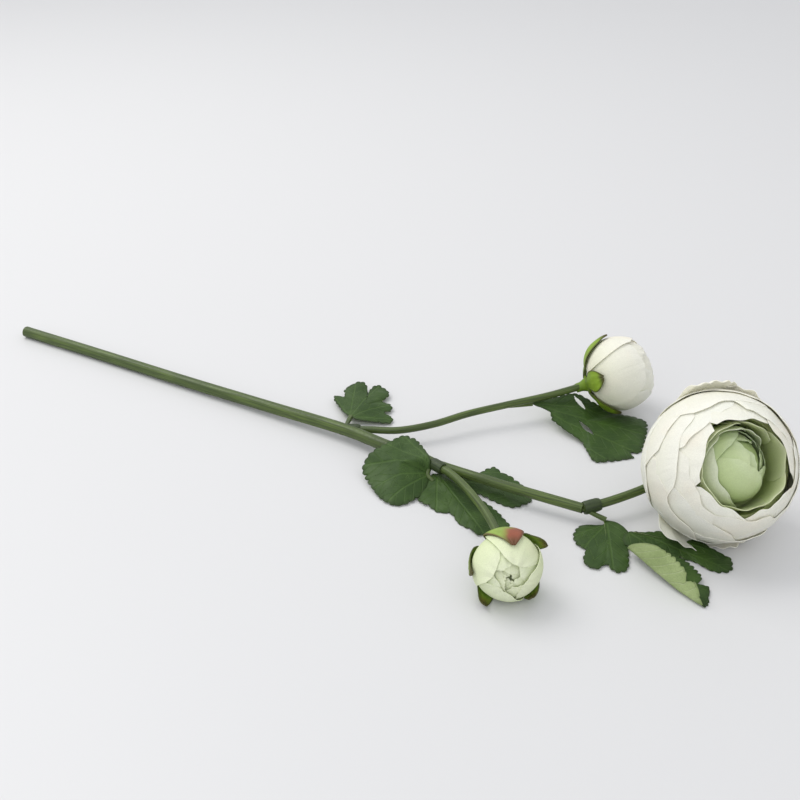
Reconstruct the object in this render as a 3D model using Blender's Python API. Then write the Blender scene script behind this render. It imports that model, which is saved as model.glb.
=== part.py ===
"""Flower spray lying on a table: a green stem with one open white bloom, two closed buds and four leaves.

The main stem lies along +X, from its cut end at -X. The origin is under the middle of the spray, at
table height, and +Z is up. Lengths and places below are millimetres, and meshes are made in metres.
A head (bloom or bud) is built round its own axis, which points out through its opening. A polar angle
is measured from that axis, and an azimuth goes round it, from the right as seen looking in.
"""
import math
import random
from collections import namedtuple

import bmesh
import bpy
from mathutils import Matrix, Vector

MM = 0.001
GAP = 0.3
SEED = 11

# The places below are laid out from the photographed spray, and this brings its middle to the origin
FOOTPRINT_SHIFT = Vector((1.6, -1.4, 0.0))

# Size of the block that stands for the table when the underside is flattened
TABLE_DEPTH = 30.0
TABLE_REACH = 300.0

# Stems, and the plugs and sleeves that join them
MAIN_RADIUS = 3.4
UPPER_RADIUS = 2.6
BLOOM_STEM_RADIUS = 2.25
FRONT_STEM_RADIUS = 2.1
BACK_STEM_RADIUS = 2.0
PETIOLE_RADIUS = 1.1
SLEEVE_WALL = 0.9
SLEEVE_LENGTH = 9.0
PLUG_START = 4.0
PLUG_END = 2.0

# Forks and ends of the main stem
CUT_END = (-240.0, -13.8, 3.3)
FORK_BACK = (2.0, -15.6, 6.2)
FORK_FRONT = (61.2, -23.0, 8.0)
FORK_BLOOM = (144.8, -21.2, 8.0)

# Heads
BLOOM_CENTRE = (201.3, 4.7, 36.8)
BLOOM_AXIS = (0.556, -0.632, 0.540)
BLOOM_RADIUS = 37.2
BLOOM_CORE = 31.0
BLOOM_LAYERS = 5
BLOOM_LAYER_PETALS = 5
BLOOM_LAYER_TURN = 36.0
BLOOM_FIRST_AZIMUTH = 8.0
BLOOM_PETAL_HALF_ANGLE = 49.0
BLOOM_PETAL_LENGTH = 66.0
BLOOM_PETAL_ROOT = 156.0
BLOOM_INNER_RADIUS = 32.6
BLOOM_INNER_RIM = 39.0
BLOOM_OUTER_RIM = 80.0
OPENING_RADIUS = 22.0
OPENING_SHOULDER = 5.0
OPENING_TOP = 40.0
LININGS = 5
LINING_FIRST_AZIMUTH = 23.0
LINING_HALF_ANGLE = 46.0
LINING_RADII = (20.2, 20.9)
LINING_FOOT = 2.0
LINING_RISE = 22.5
HEART_RADIUS = 17.5
HEART_HEIGHT = 4.0
HEART_RIM_DEPTH = 8.0
HEART_PETAL_LENGTH = 62.0
HEART_PETAL_HALF_ANGLE = 66.0
BUD_PETAL_ROOT = 152.0
BUD_PETAL_LENGTH = 80.0
FRONT_CENTRE = (136.8, -90.0, 15.9)
FRONT_AXIS = (0.490, -0.832, 0.260)
FRONT_RADIUS = 15.7
FRONT_CORE = 12.7
BACK_CENTRE = (118.0, 88.0, 24.2)
BACK_AXIS = (0.780, 0.510, 0.360)
BACK_RADIUS = 20.9
BACK_CORE = 17.7

# Petals, sepals and leaves
PETAL = 0.8
POLE_RADIUS = 0.5
SEPAL = 0.8
SEPAL_CLEARANCE = 1.45
SEPAL_ROOT = 166.0
LEAF = 0.7
LEAFLET_ROWS = 12
LEAF_TIP_HEIGHT = 0.35
LEAF_DISH = 0.06
LOBE_NOTCHES = (0.30, 0.62)
LOBE_DEPTH = 0.36
LOBE_SWEEP = 0.5
TOOTH_DEPTH = 0.86
FOLD_WIDTH = 4.0

# Radius and height of points down the bowl that the heart sits in
OPENING_BOWL = [(POLE_RADIUS, -19.5), (9.0, -17.8), (16.0, -12.0), (20.5, -4.0)]
# Rim angle, lift off the heart and first azimuth of each ring of heart petals
HEART_RINGS = [(34.0, 1.4, 100.0), (16.0, 0.8, 40.0)]

Ring = namedtuple("Ring", "count rim base radius turn half_angle")
Leaflet = namedtuple("Leaflet", "root heading length half_width turn arch roll fold")


def vec(point):
    return Vector(point)


def smooth(t):
    t = min(1.0, max(0.0, t))
    return t * t * (3.0 - 2.0 * t)


def material(name, colour, roughness):
    made = bpy.data.materials.new(name)
    made.use_nodes = True
    shader = made.node_tree.nodes["Principled BSDF"]
    shader.inputs["Base Color"].default_value = (*colour, 1.0)
    shader.inputs["Roughness"].default_value = roughness
    shader.inputs["Metallic"].default_value = 0.0
    return made


def mesh_object(name, points, faces):
    mesh = bpy.data.meshes.new(name)
    mesh.from_pydata([(vec(p) + FOOTPRINT_SHIFT) * MM for p in points], [], faces)
    made = bpy.data.objects.new(name, mesh)
    bpy.context.scene.collection.objects.link(made)
    return made


def apply_boolean(target, operation, operands, solver="EXACT"):
    """Fuse the operands to the target, or cut them from it, and remove them."""
    group = bpy.data.collections.new("operands")
    bpy.context.scene.collection.children.link(group)
    for operand in operands:
        bpy.context.scene.collection.objects.unlink(operand)
        group.objects.link(operand)
    modifier = target.modifiers.new("boolean", "BOOLEAN")
    modifier.operation = operation
    modifier.operand_type = "COLLECTION"
    modifier.collection = group
    modifier.solver = solver
    graph = bpy.context.evaluated_depsgraph_get()
    result = bpy.data.meshes.new_from_object(target.evaluated_get(graph))
    target.modifiers.clear()
    target.data = result
    for operand in operands:
        bpy.data.objects.remove(operand)
    bpy.data.collections.remove(group)
    keep_main_body(target)


def keep_main_body(target):
    """Drop loose scraps and sealed hollows, so that one closed body is left."""
    shape = bmesh.new()
    shape.from_mesh(target.data)
    bmesh.ops.triangulate(shape, faces=shape.faces[:])
    bodies = []
    unseen = set(shape.faces)
    while unseen:
        body = []
        queue = [unseen.pop()]
        while queue:
            face = queue.pop()
            body.append(face)
            for edge in face.edges:
                for near in edge.link_faces:
                    if near in unseen:
                        unseen.remove(near)
                        queue.append(near)
        volume = sum(f.verts[0].co.dot(f.verts[1].co.cross(f.verts[2].co)) for f in body) / 6.0
        bodies.append((volume, body))
    bodies.sort(key=lambda entry: entry[0])
    for _, body in bodies[:-1]:
        bmesh.ops.delete(shape, geom=body, context="FACES")
    shape.to_mesh(target.data)
    shape.free()


def finish(target, look):
    target.data.materials.clear()
    target.data.materials.append(look)
    target.data.shade_smooth()
    target.data.set_sharp_from_angle(angle=math.radians(35.0))


def spline(points, steps):
    """Smooth curve through the points, with the given number of steps between neighbours."""
    route = [vec(p) for p in points]
    padded = [route[0] * 2.0 - route[1]] + route + [route[-1] * 2.0 - route[-2]]
    curve = []
    for a, b, c, d in zip(padded, padded[1:], padded[2:], padded[3:]):
        for step in range(steps):
            t = step / steps
            curve.append(0.5 * (2.0 * b + (c - a) * t + (2.0 * a - 5.0 * b + 4.0 * c - d) * t * t
                                + (3.0 * b - a - 3.0 * c + d) * t ** 3))
    curve.append(route[-1])
    return curve


def tube(name, curve, radii, sides):
    """Closed round rod along the curve, with one radius for each of its points."""
    points = []
    faces = []
    side = None
    for index, centre in enumerate(curve):
        ahead = curve[min(index + 1, len(curve) - 1)] - curve[max(index - 1, 0)]
        ahead.normalize()
        reference = side if side else Vector((0.0, 0.0, 1.0))
        side = (reference - ahead * reference.dot(ahead)).normalized()
        across = ahead.cross(side)
        for corner in range(sides):
            angle = 2.0 * math.pi * (corner + 0.5) / sides
            points.append(centre + (side * math.cos(angle) + across * math.sin(angle)) * radii[index])
    for ring in range(len(curve) - 1):
        for corner in range(sides):
            a = ring * sides + corner
            b = ring * sides + (corner + 1) % sides
            faces.append((a, b, b + sides, a + sides))
    faces.append(tuple(reversed(range(sides))))
    faces.append(tuple(range(len(points) - sides, len(points))))
    return mesh_object(name, points, faces)


def even_tube(name, curve, radius, sides=10):
    return tube(name, curve, [radius] * len(curve), sides)


def ball(name, centre, radius, around=20, rows=10):
    """Closed ball whose poles lie on the vertical through its centre."""
    shape = bmesh.new()
    bmesh.ops.create_uvsphere(shape, u_segments=around, v_segments=rows, radius=radius)
    made = mesh_object(name, [v.co + vec(centre) for v in shape.verts],
                       [tuple(v.index for v in f.verts) for f in shape.faces])
    shape.free()
    return made


def head_frame(centre, axis):
    turn = vec(axis).normalized().to_track_quat("Z", "Y").to_matrix().to_4x4()
    return Matrix.Translation(vec(centre)) @ turn


def turned(name, frame, profile, sides=24):
    """Closed solid of revolution round a head's axis; the profile is (radius, height), bottom to top."""
    points = []
    faces = []
    for radius, height in profile:
        for corner in range(sides):
            angle = 2.0 * math.pi * corner / sides
            points.append(frame @ Vector((radius * math.cos(angle), radius * math.sin(angle), height)))
    for ring in range(len(profile) - 1):
        for corner in range(sides):
            a = ring * sides + corner
            b = ring * sides + (corner + 1) % sides
            faces.append((a, b, b + sides, a + sides))
    faces.append(tuple(reversed(range(sides))))
    faces.append(tuple(range(len(points) - sides, len(points))))
    return mesh_object(name, points, faces)


def blade_solid(name, outer, inner):
    """Closed blade from two alike grids of points, split into the same triangles on both faces."""
    rows = len(outer)
    columns = len(outer[0])
    points = [p for row in outer for p in row] + [p for row in inner for p in row]
    back = rows * columns
    faces = []
    for i in range(rows - 1):
        for j in range(columns - 1):
            a = i * columns + j
            b = a + 1
            c = a + columns + 1
            d = a + columns
            faces.append((a, b, c))
            faces.append((a, c, d))
            faces.append((back + c, back + b, back + a))
            faces.append((back + d, back + c, back + a))
    border = [j for j in range(columns)]
    border += [i * columns + columns - 1 for i in range(1, rows)]
    border += [(rows - 1) * columns + j for j in range(columns - 2, -1, -1)]
    border += [i * columns for i in range(rows - 2, 0, -1)]
    for a, b in zip(border, border[1:] + border[:1]):
        faces.append((b, a, back + a))
        faces.append((b, back + a, back + b))
    return mesh_object(name, points, faces)


def petal(name, frame, meridian, azimuth, half_angle, core, lap=0.0, crown=0.0, curl=0.0, lip=0.85,
          pointed=False, rows=5, columns=4, thickness=PETAL):
    """One petal round a head's axis, rooted in the core of the given radius.

    meridian(v, drop) gives (polar angle, radius) from the root, v = 0, to the rim, v = 1. lap lifts one
    side over the next petal, crown rounds the rim off towards the sides, and curl turns it out. The
    petal stands free above the lip, a share of its length, and is solid down to the core below it.
    """
    outer = []
    inner = []
    for i in range(rows + 1):
        v = i / rows
        if pointed:
            width = math.sin(math.pi * (0.18 + 0.8 * v)) ** 0.8
        else:
            width = 0.62 + 0.38 * math.sin(math.pi * min(1.0, 0.25 + 0.75 * v))
        outer_row = []
        inner_row = []
        for j in range(columns + 1):
            u = 2.0 * j / columns - 1.0
            polar, radius = meridian(v, crown * u * u)
            radius += lap * u + curl * v ** 4
            under = radius - thickness if v > lip else min(core - 1.2, radius - thickness)
            angle = math.radians(azimuth + u * half_angle * width)
            out = Vector((math.sin(polar) * math.cos(angle), math.sin(polar) * math.sin(angle),
                          math.cos(polar)))
            outer_row.append(frame @ (out * radius))
            inner_row.append(frame @ (out * under))
        outer.append(outer_row)
        inner.append(inner_row)
    return blade_solid(name, outer, inner)


def shell_meridian(rim, base, core, radius, lift=1.6):
    """Meridian that rises from just inside the core to a shell, and follows it up to the rim."""
    def meridian(v, drop):
        polar = base + (rim + drop - base) * v
        height = math.sin(0.5 * math.pi * min(1.0, lift * v))
        return math.radians(polar), core - 0.6 + (radius - core + 0.6) * height
    return meridian


def ring_of_petals(frame, ring, core, chance, lap=0.65, crown=9.0, curl=0.3):
    made = []
    for index in range(ring.count):
        azimuth = ring.turn + 360.0 * index / ring.count + chance.uniform(-4.0, 4.0)
        rim = ring.rim + chance.uniform(-2.0, 2.0)
        meridian = shell_meridian(rim, ring.base, core, ring.radius + chance.uniform(-0.15, 0.15))
        made.append(petal("petal", frame, meridian, azimuth, ring.half_angle, core, lap=lap, crown=crown,
                          curl=curl * chance.uniform(0.3, 1.0)))
    return made


def table_cutter():
    """Block below the table's surface, which flattens what would reach under it."""
    corners = [(x, y, z) for z in (-TABLE_DEPTH, 0.0) for y in (-TABLE_REACH, TABLE_REACH)
               for x in (-TABLE_REACH, TABLE_REACH)]
    faces = [(0, 2, 3, 1), (4, 5, 7, 6), (0, 1, 5, 4), (2, 6, 7, 3), (0, 4, 6, 2), (1, 3, 7, 5)]
    return mesh_object("table", corners, faces)


def bloom_outer(chance):
    """Layers of petals round a core, with an opening for the heart; the layers spread outwards."""
    frame = head_frame(BLOOM_CENTRE, BLOOM_AXIS)
    core = ball("bloom_outer_petals", BLOOM_CENTRE, BLOOM_CORE, 16, 10)
    petals = []
    for layer in range(BLOOM_LAYERS):
        share = layer / (BLOOM_LAYERS - 1)
        rim = BLOOM_INNER_RIM + (BLOOM_OUTER_RIM - BLOOM_INNER_RIM) * share
        radius = BLOOM_INNER_RADIUS + (BLOOM_RADIUS - BLOOM_INNER_RADIUS) * share
        base = min(BLOOM_PETAL_ROOT, rim + BLOOM_PETAL_LENGTH + 10.0 * share)
        turn = BLOOM_FIRST_AZIMUTH + BLOOM_LAYER_TURN * layer
        ring = Ring(BLOOM_LAYER_PETALS, rim, base, radius, turn, BLOOM_PETAL_HALF_ANGLE)
        petals += ring_of_petals(frame, ring, BLOOM_CORE, chance, curl=0.3 + share)
    apply_boolean(core, "UNION", petals)
    opening = OPENING_BOWL + [(OPENING_RADIUS, OPENING_SHOULDER), (OPENING_RADIUS, OPENING_TOP),
                              (POLE_RADIUS, OPENING_TOP)]
    apply_boolean(core, "DIFFERENCE", [turned("opening", frame, opening)])
    apply_boolean(core, "DIFFERENCE", [table_cutter()])
    return core


def lining_meridian(wall):
    """Meridian that climbs the opening's wall and leans in a little at the top."""
    def meridian(v, drop):
        height = LINING_FOOT + (LINING_RISE - 0.12 * drop) * v
        radius = wall - 1.2 * v * v
        return math.atan2(radius, height), math.hypot(radius, height)
    return meridian


def bloom_heart(chance):
    """Cup that seats in the bloom's opening, with lining petals up its wall and a closed bud in it."""
    frame = head_frame(BLOOM_CENTRE, BLOOM_AXIS)
    inset = GAP + 0.25
    wall = OPENING_RADIUS - inset
    cup = [(max(POLE_RADIUS, radius - inset), height + inset) for radius, height in OPENING_BOWL]
    cup += [(wall, OPENING_SHOULDER), (wall - 0.2, HEART_RIM_DEPTH), (wall * 0.7, HEART_RIM_DEPTH + 2.0),
            (POLE_RADIUS, HEART_RIM_DEPTH + 6.0)]
    core = turned("bloom_heart_petals", frame, cup)
    middle = frame @ Matrix.Translation((0.0, 0.0, HEART_HEIGHT))
    petals = [ball("bud", middle.translation, HEART_RADIUS, 18, 10)]
    for index in range(LININGS):
        climb = lining_meridian(LINING_RADII[index % 2])
        azimuth = LINING_FIRST_AZIMUTH + 360.0 * index / LININGS
        petals.append(petal("lining", frame, climb, azimuth, LINING_HALF_ANGLE, HEART_RADIUS + 0.5,
                            crown=30.0, lip=0.2, lap=0.25))
    for rim, shell, turn in HEART_RINGS:
        ring = Ring(3, rim, rim + HEART_PETAL_LENGTH, HEART_RADIUS + shell, turn, HEART_PETAL_HALF_ANGLE)
        petals += ring_of_petals(middle, ring, HEART_RADIUS, chance, lap=0.5, crown=14.0, curl=0.2)
    apply_boolean(core, "UNION", petals, "MANIFOLD")
    return core


def closed_bud(name, centre, axis, radius, core, rings, chance):
    frame = head_frame(centre, axis)
    made = ball(name, centre, core, 16, 8)
    petals = []
    for count, rim, shell, turn in rings:
        root = BUD_PETAL_ROOT if shell == radius else rim + BUD_PETAL_LENGTH
        ring = Ring(count, rim, root, shell, turn, 250.0 / count)
        petals += ring_of_petals(frame, ring, core, chance, lap=0.75, crown=12.0, curl=0.2)
    apply_boolean(made, "UNION", petals, "MANIFOLD")
    apply_boolean(made, "DIFFERENCE", [table_cutter()])
    return made


def sepal_meridian(tip, base, core, shell):
    """Meridian that lies just over the outermost petals, from the calyx cup to the tip's angle."""
    rise = shell_meridian(BLOOM_OUTER_RIM, base, core, shell)

    def meridian(v, drop):
        polar = SEPAL_ROOT + (tip - SEPAL_ROOT) * v
        along = max(0.0, (base - polar) / (base - BLOOM_OUTER_RIM))
        return math.radians(polar), max(rise(along, 0.0)[1], core) + SEPAL_CLEARANCE + SEPAL
    return meridian


def calyx(name, centre, axis, core, shell, base, tips, turn, half_angle, neck_radius, stem):
    """Cup at the back of a head, with one pointed sepal for each tip angle, laid over the petals.

    shell, core and base are those of the head's outermost petals, whose meridian the sepals follow.
    """
    frame = head_frame(centre, axis)
    seat = core + GAP + 0.1
    edge = math.radians(160.0)
    wide = math.sin(edge)
    back = -math.cos(edge)
    profile = [(neck_radius, -seat - 6.0), (neck_radius + 0.4, -seat - 3.0),
               ((seat + 1.6) * wide * 0.8, -(seat + 1.6) * back - 0.6),
               ((seat + 1.2) * wide, -(seat + 1.2) * back), (seat * wide, -seat * back),
               (seat * wide * 0.5, -seat * 0.985), (0.4, -seat)]
    cup = turned(name, frame, profile, 14)
    sepals = []
    for index, tip in enumerate(tips):
        azimuth = turn + 360.0 * index / len(tips)
        sepals.append(petal("sepal", frame, sepal_meridian(tip, base, core, shell), azimuth, half_angle,
                            0.0, lip=-1.0, pointed=True, thickness=SEPAL))
    apply_boolean(cup, "UNION", sepals, "MANIFOLD")
    apply_boolean(cup, "DIFFERENCE", [stem, table_cutter()])
    return cup


def cross_section(reach, roll, fold):
    """Sideways and upward place of a point of a leaflet, at the given distance from its rib.

    roll tips the whole blade, and fold bends the side with a negative reach up and over.
    """
    if reach < 0.0 and fold:
        steps = 8
        out = 0.0
        up = 0.0
        for step in range(steps):
            walked = (step + 0.5) / steps * -reach
            bend = math.radians(fold) * smooth(walked / FOLD_WIDTH)
            out -= math.cos(bend) * -reach / steps
            up += math.sin(bend) * -reach / steps
        return out, up
    tip = math.radians(roll)
    return reach * math.cos(tip), reach * math.sin(tip) + LEAF_DISH * abs(reach)


def leaflet_solid(shape):
    """One lobed and toothed leaflet: a thin blade along a curved rib, draped down to the table."""
    lanes = (-1.0, -0.7, -0.35, 0.0, 0.5, 1.0) if shape.fold else (-1.0, -0.5, 0.0, 0.5, 1.0)
    place = vec(shape.root)
    step = shape.length / LEAFLET_ROWS
    middle = []
    for i in range(LEAFLET_ROWS + 1):
        t = i / LEAFLET_ROWS
        angle = math.radians(shape.heading + shape.turn * t)
        ahead = Vector((math.cos(angle), math.sin(angle), 0.0))
        side = Vector((-ahead.y, ahead.x, 0.0))
        width = math.sin(math.pi * (0.06 + 0.84 * t ** 0.75)) ** 0.7
        for lobe in LOBE_NOTCHES:
            width *= 1.0 - LOBE_DEPTH * math.exp(-((t - lobe) / 0.05) ** 2)
        width *= 1.0 if i % 2 else TOOTH_DEPTH
        height = shape.root[2] * (1.0 - smooth(t)) + LEAF_TIP_HEIGHT * smooth(t)
        height += shape.arch * math.sin(math.pi * t)
        row = []
        for lane in lanes:
            reach = shape.half_width * width * lane
            out, up = cross_section(reach, shape.roll, shape.fold)
            forward = ahead * abs(reach) * LOBE_SWEEP * (1.0 - 0.8 * t * t)
            point = place + side * out + forward
            row.append(Vector((point.x, point.y, max(LEAF * 0.5, height + up))))
        middle.append(row)
        place = place + ahead * step
    outer = []
    inner = []
    for i, row in enumerate(middle):
        outer_row = []
        inner_row = []
        for j in range(len(row) - 1, -1, -1):
            along = middle[min(i + 1, LEAFLET_ROWS)][j] - middle[max(i - 1, 0)][j]
            across = row[min(j + 1, len(row) - 1)] - row[max(j - 1, 0)]
            normal = across.cross(along).normalized()
            outer_row.append(row[j] - normal * LEAF * 0.5)
            inner_row.append(row[j] + normal * LEAF * 0.5)
        outer.append(outer_row)
        inner.append(inner_row)
    return blade_solid("leaflet", outer, inner)


def leaf(name, petiole, leaflets, look):
    """Leaflets round a petiole's end, fused, and cut back by the gap from every stem."""
    route = spline(petiole, 4)
    made = even_tube(name, route, PETIOLE_RADIUS, 8)
    hub = ball("hub", petiole[-1], PETIOLE_RADIUS * 1.35, 8, 6)
    apply_boolean(made, "UNION", [hub] + [leaflet_solid(shape) for shape in leaflets], "MANIFOLD")
    apply_boolean(made, "DIFFERENCE", stem_clearances() + [table_cutter()])
    finish(made, look)


def neck(centre, axis, core, depth):
    """Point on a head's axis, the given depth behind the seat of its calyx."""
    return vec(centre) - vec(axis).normalized() * (core + GAP + 0.1 + depth)


def main_route():
    return [CUT_END, (-180.0, -13.6, 3.4), (-110.0, -14.2, 3.8), (-50.0, -14.6, 4.8), FORK_BACK,
            (32.0, -19.6, 7.0), FORK_FRONT, (103.0, -23.4, 8.4), FORK_BLOOM]


def bloom_stem_route():
    return [FORK_BLOOM, (155.5, -9.4, 9.6), (166.2, 7.2, 10.8), (168.6, 16.0, 11.2), (170.6, 24.5, 12.0),
            (174.5, 30.5, 13.4), neck(BLOOM_CENTRE, BLOOM_AXIS, BLOOM_CORE, 6.0),
            neck(BLOOM_CENTRE, BLOOM_AXIS, BLOOM_CORE, PLUG_END)]


def front_stem_route():
    return [FORK_FRONT, (76.0, -29.0, 9.2), (91.9, -39.8, 10.4), (108.4, -53.6, 11.4),
            (120.2, -65.6, 11.6), neck(FRONT_CENTRE, FRONT_AXIS, FRONT_CORE, PLUG_END)]


def back_stem_route():
    return [FORK_BACK, (14.5, -10.5, 7.2), (30.0, -3.6, 8.0), (44.0, 9.8, 9.2), (55.6, 27.0, 10.4),
            (70.0, 43.6, 11.8), (87.0, 62.0, 13.6), neck(BACK_CENTRE, BACK_AXIS, BACK_CORE, PLUG_END)]


def side_stem(name, route, radius, extra=0.0, steps=3):
    """Plug-in stem; extra widens it all round and lengthens its plug, which makes it a clearance."""
    curve = spline(route, steps)
    length = 0.0
    start = 0
    while length < PLUG_START - extra:
        length += (curve[start + 1] - curve[start]).length
        start += 1
    kept = curve[start:]
    if extra:
        kept[0] = kept[0] - (kept[1] - kept[0]).normalized() * extra
        kept[-1] = kept[-1] + (kept[-1] - kept[-2]).normalized() * extra
    return even_tube(name, kept, radius + extra, 8)


def socket(route, radius, extra=0.0):
    """Short sleeve on the main stem, along the start of a side stem."""
    curve = spline(route, 3)
    ahead = (curve[2] - curve[0]).normalized()
    start = curve[0] + ahead * (0.4 - extra)
    end = curve[0] + ahead * (SLEEVE_LENGTH + extra)
    return even_tube("socket", [start, end], radius + GAP + SLEEVE_WALL + extra, 12)


def main_rod(name, extra=0.0):
    curve = spline(main_route(), 3)
    radii = [MAIN_RADIUS if point.x <= FORK_FRONT[0] + 2.0 else UPPER_RADIUS for point in curve]
    if extra:
        curve[-1] = curve[-1] + (curve[-1] - curve[-2]).normalized() * extra
    return tube(name, curve, [radius + extra for radius in radii], 12)


def side_stems():
    return [("bloom_stem", bloom_stem_route(), BLOOM_STEM_RADIUS),
            ("front_bud_stem", front_stem_route(), FRONT_STEM_RADIUS),
            ("back_bud_stem", back_stem_route(), BACK_STEM_RADIUS)]


def stem_clearances():
    """Every stem and sleeve, widened by the gap, for cutting what is seated against them."""
    made = [main_rod("clearance", GAP)]
    for _, route, radius in side_stems():
        made += [socket(route, radius, GAP), side_stem("clearance", route, radius, GAP)]
    return made


def build_stems(look):
    rod = main_rod("main_stem")
    apply_boolean(rod, "UNION", [socket(route, radius) for _, route, radius in side_stems()])
    apply_boolean(rod, "DIFFERENCE",
                  [side_stem("bore", route, radius, GAP) for _, route, radius in side_stems()])
    finish(rod, look)
    for name, route, radius in side_stems():
        finish(side_stem(name, route, radius), look)


def build_bloom(chance, petal_look, heart_look, sepal_look):
    finish(bloom_outer(chance), petal_look)
    finish(bloom_heart(chance), heart_look)
    stem = side_stem("clearance", bloom_stem_route(), BLOOM_STEM_RADIUS, GAP)
    finish(calyx("bloom_calyx", BLOOM_CENTRE, BLOOM_AXIS, BLOOM_CORE, BLOOM_RADIUS, BLOOM_PETAL_ROOT,
                 (140.0, 136.0, 141.0, 138.0, 139.0), 40.0, 26.0, 3.2, stem), sepal_look)


def build_buds(chance, petal_look, pale_look, sepal_look):
    front = closed_bud("front_bud_petals", FRONT_CENTRE, FRONT_AXIS, FRONT_RADIUS, FRONT_CORE,
                       [(4, 36.0, FRONT_RADIUS, 30.0), (3, 24.0, FRONT_RADIUS - 0.9, 75.0),
                        (2, 10.0, FRONT_RADIUS - 1.7, 20.0)], chance)
    finish(front, pale_look)
    back = closed_bud("back_bud_petals", BACK_CENTRE, BACK_AXIS, BACK_RADIUS, BACK_CORE,
                      [(4, 38.0, BACK_RADIUS, 10.0), (3, 25.0, BACK_RADIUS - 1.0, 55.0),
                       (2, 10.0, BACK_RADIUS - 1.9, 0.0)], chance)
    finish(back, petal_look)
    stem = side_stem("clearance", front_stem_route(), FRONT_STEM_RADIUS, GAP)
    finish(calyx("front_bud_sepals", FRONT_CENTRE, FRONT_AXIS, FRONT_CORE, FRONT_RADIUS, BUD_PETAL_ROOT,
                 (56.0, 66.0, 74.0, 68.0, 84.0), 100.0, 25.0, 2.9, stem), sepal_look)
    stem = side_stem("clearance", back_stem_route(), BACK_STEM_RADIUS, GAP)
    finish(calyx("back_bud_sepals", BACK_CENTRE, BACK_AXIS, BACK_CORE, BACK_RADIUS, BUD_PETAL_ROOT,
                 (113.0, 104.0, 100.0, 100.0, 86.0), 147.0, 24.0, 2.8, stem), sepal_look)


def build_leaves(look):
    leaf("leaf_back_fork", [FORK_BACK, (-1.0, -8.0, 5.0), (-5.0, 1.0, 3.6)],
         [Leaflet((-5.5, 0.0, 3.2), 150.0, 34.0, 12.0, -25.0, 3.0, 0.0, 0.0),
          Leaflet((-5.0, 0.5, 3.4), 108.0, 44.0, 13.0, -6.0, 5.0, 0.0, 0.0),
          Leaflet((-4.5, 0.0, 3.0), 60.0, 30.0, 11.0, -15.0, 2.5, 0.0, 0.0)], look)
    leaf("leaf_front_fork", [FORK_FRONT, (62.0, -29.0, 4.6), (66.5, -31.0, 2.8)],
         [Leaflet((66.0, -31.5, 3.4), 192.0, 46.0, 16.0, -8.0, 5.0, -32.0, 0.0),
          Leaflet((66.0, -31.0, 2.2), -42.0, 55.0, 15.0, 20.0, 1.5, 0.0, 0.0),
          Leaflet((66.5, -30.5, 2.4), 20.0, 48.0, 13.0, -4.0, 0.5, 0.0, 0.0)], look)
    leaf("leaf_back_bud", [(68.0, 41.3, 11.6), (76.0, 49.0, 7.6), (84.0, 54.0, 6.0)],
         [Leaflet((83.0, 53.5, 5.6), -28.0, 56.0, 14.0, 4.0, 2.0, 0.0, 0.0),
          Leaflet((83.5, 54.0, 5.2), -2.0, 66.0, 13.0, 4.0, 0.5, 0.0, 0.0),
          Leaflet((83.0, 54.0, 5.0), 26.0, 62.0, 10.0, 8.0, -1.0, 0.0, 0.0)], look)
    leaf("leaf_last_fork", [FORK_BLOOM, (150.0, -23.6, 6.8), (157.0, -26.5, 5.6)],
         [Leaflet((156.5, -26.0, 5.2), -74.0, 30.0, 13.5, 8.0, 4.0, 0.0, 0.0),
          Leaflet((156.5, -26.5, 5.4), -4.0, 66.0, 10.5, 14.0, 3.0, 0.0, 0.0),
          Leaflet((174.0, -34.0, 4.2), -30.0, 49.0, 15.0, 14.0, 0.0, 0.0, 104.0)], look)


def main():
    for old in list(bpy.data.objects):
        bpy.data.objects.remove(old)
    chance = random.Random(SEED)
    stem_look = material("stem_plastic", (0.075, 0.110, 0.035), 0.45)
    white_look = material("white_petal_fabric", (0.86, 0.87, 0.78), 0.75)
    heart_look = material("green_petal_fabric", (0.50, 0.62, 0.32), 0.75)
    pale_look = material("pale_green_petal_fabric", (0.70, 0.80, 0.52), 0.75)
    sepal_look = material("sepal_plastic", (0.25, 0.42, 0.09), 0.5)
    leaf_look = material("leaf_fabric", (0.045, 0.090, 0.022), 0.7)
    build_stems(stem_look)
    build_bloom(chance, white_look, heart_look, sepal_look)
    build_buds(chance, white_look, pale_look, sepal_look)
    build_leaves(leaf_look)


main()
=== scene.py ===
"""Looks of the flower spray: fine cloth petals, sepals and leaves, moulded stems, floor, light and camera.

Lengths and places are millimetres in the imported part's frame, and meshes are made in metres. A head
(bloom or bud) is built round its own axis, which points out through its opening. A polar angle is
measured from that axis, and an azimuth goes round it, from the right as seen looking in.
"""
import math
import random
from collections import namedtuple

import bpy
from mathutils import Matrix, Vector, noise


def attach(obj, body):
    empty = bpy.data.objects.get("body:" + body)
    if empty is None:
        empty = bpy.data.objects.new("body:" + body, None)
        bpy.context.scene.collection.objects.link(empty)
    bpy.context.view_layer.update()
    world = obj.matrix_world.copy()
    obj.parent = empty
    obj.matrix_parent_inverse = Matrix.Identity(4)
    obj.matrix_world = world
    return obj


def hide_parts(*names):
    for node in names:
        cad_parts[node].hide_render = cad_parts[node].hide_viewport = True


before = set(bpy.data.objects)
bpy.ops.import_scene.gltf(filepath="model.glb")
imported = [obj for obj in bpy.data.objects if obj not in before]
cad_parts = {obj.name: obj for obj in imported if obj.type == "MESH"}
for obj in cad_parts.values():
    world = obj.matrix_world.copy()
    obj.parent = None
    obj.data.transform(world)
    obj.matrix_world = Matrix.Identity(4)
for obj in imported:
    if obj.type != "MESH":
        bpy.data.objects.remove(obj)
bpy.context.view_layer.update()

MM = 0.001
SEED = 23

# The places below are laid out as in the solids, and this brings their middle to the origin
FOOTPRINT_SHIFT = Vector((1.6, -1.4, 0.0))

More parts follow.
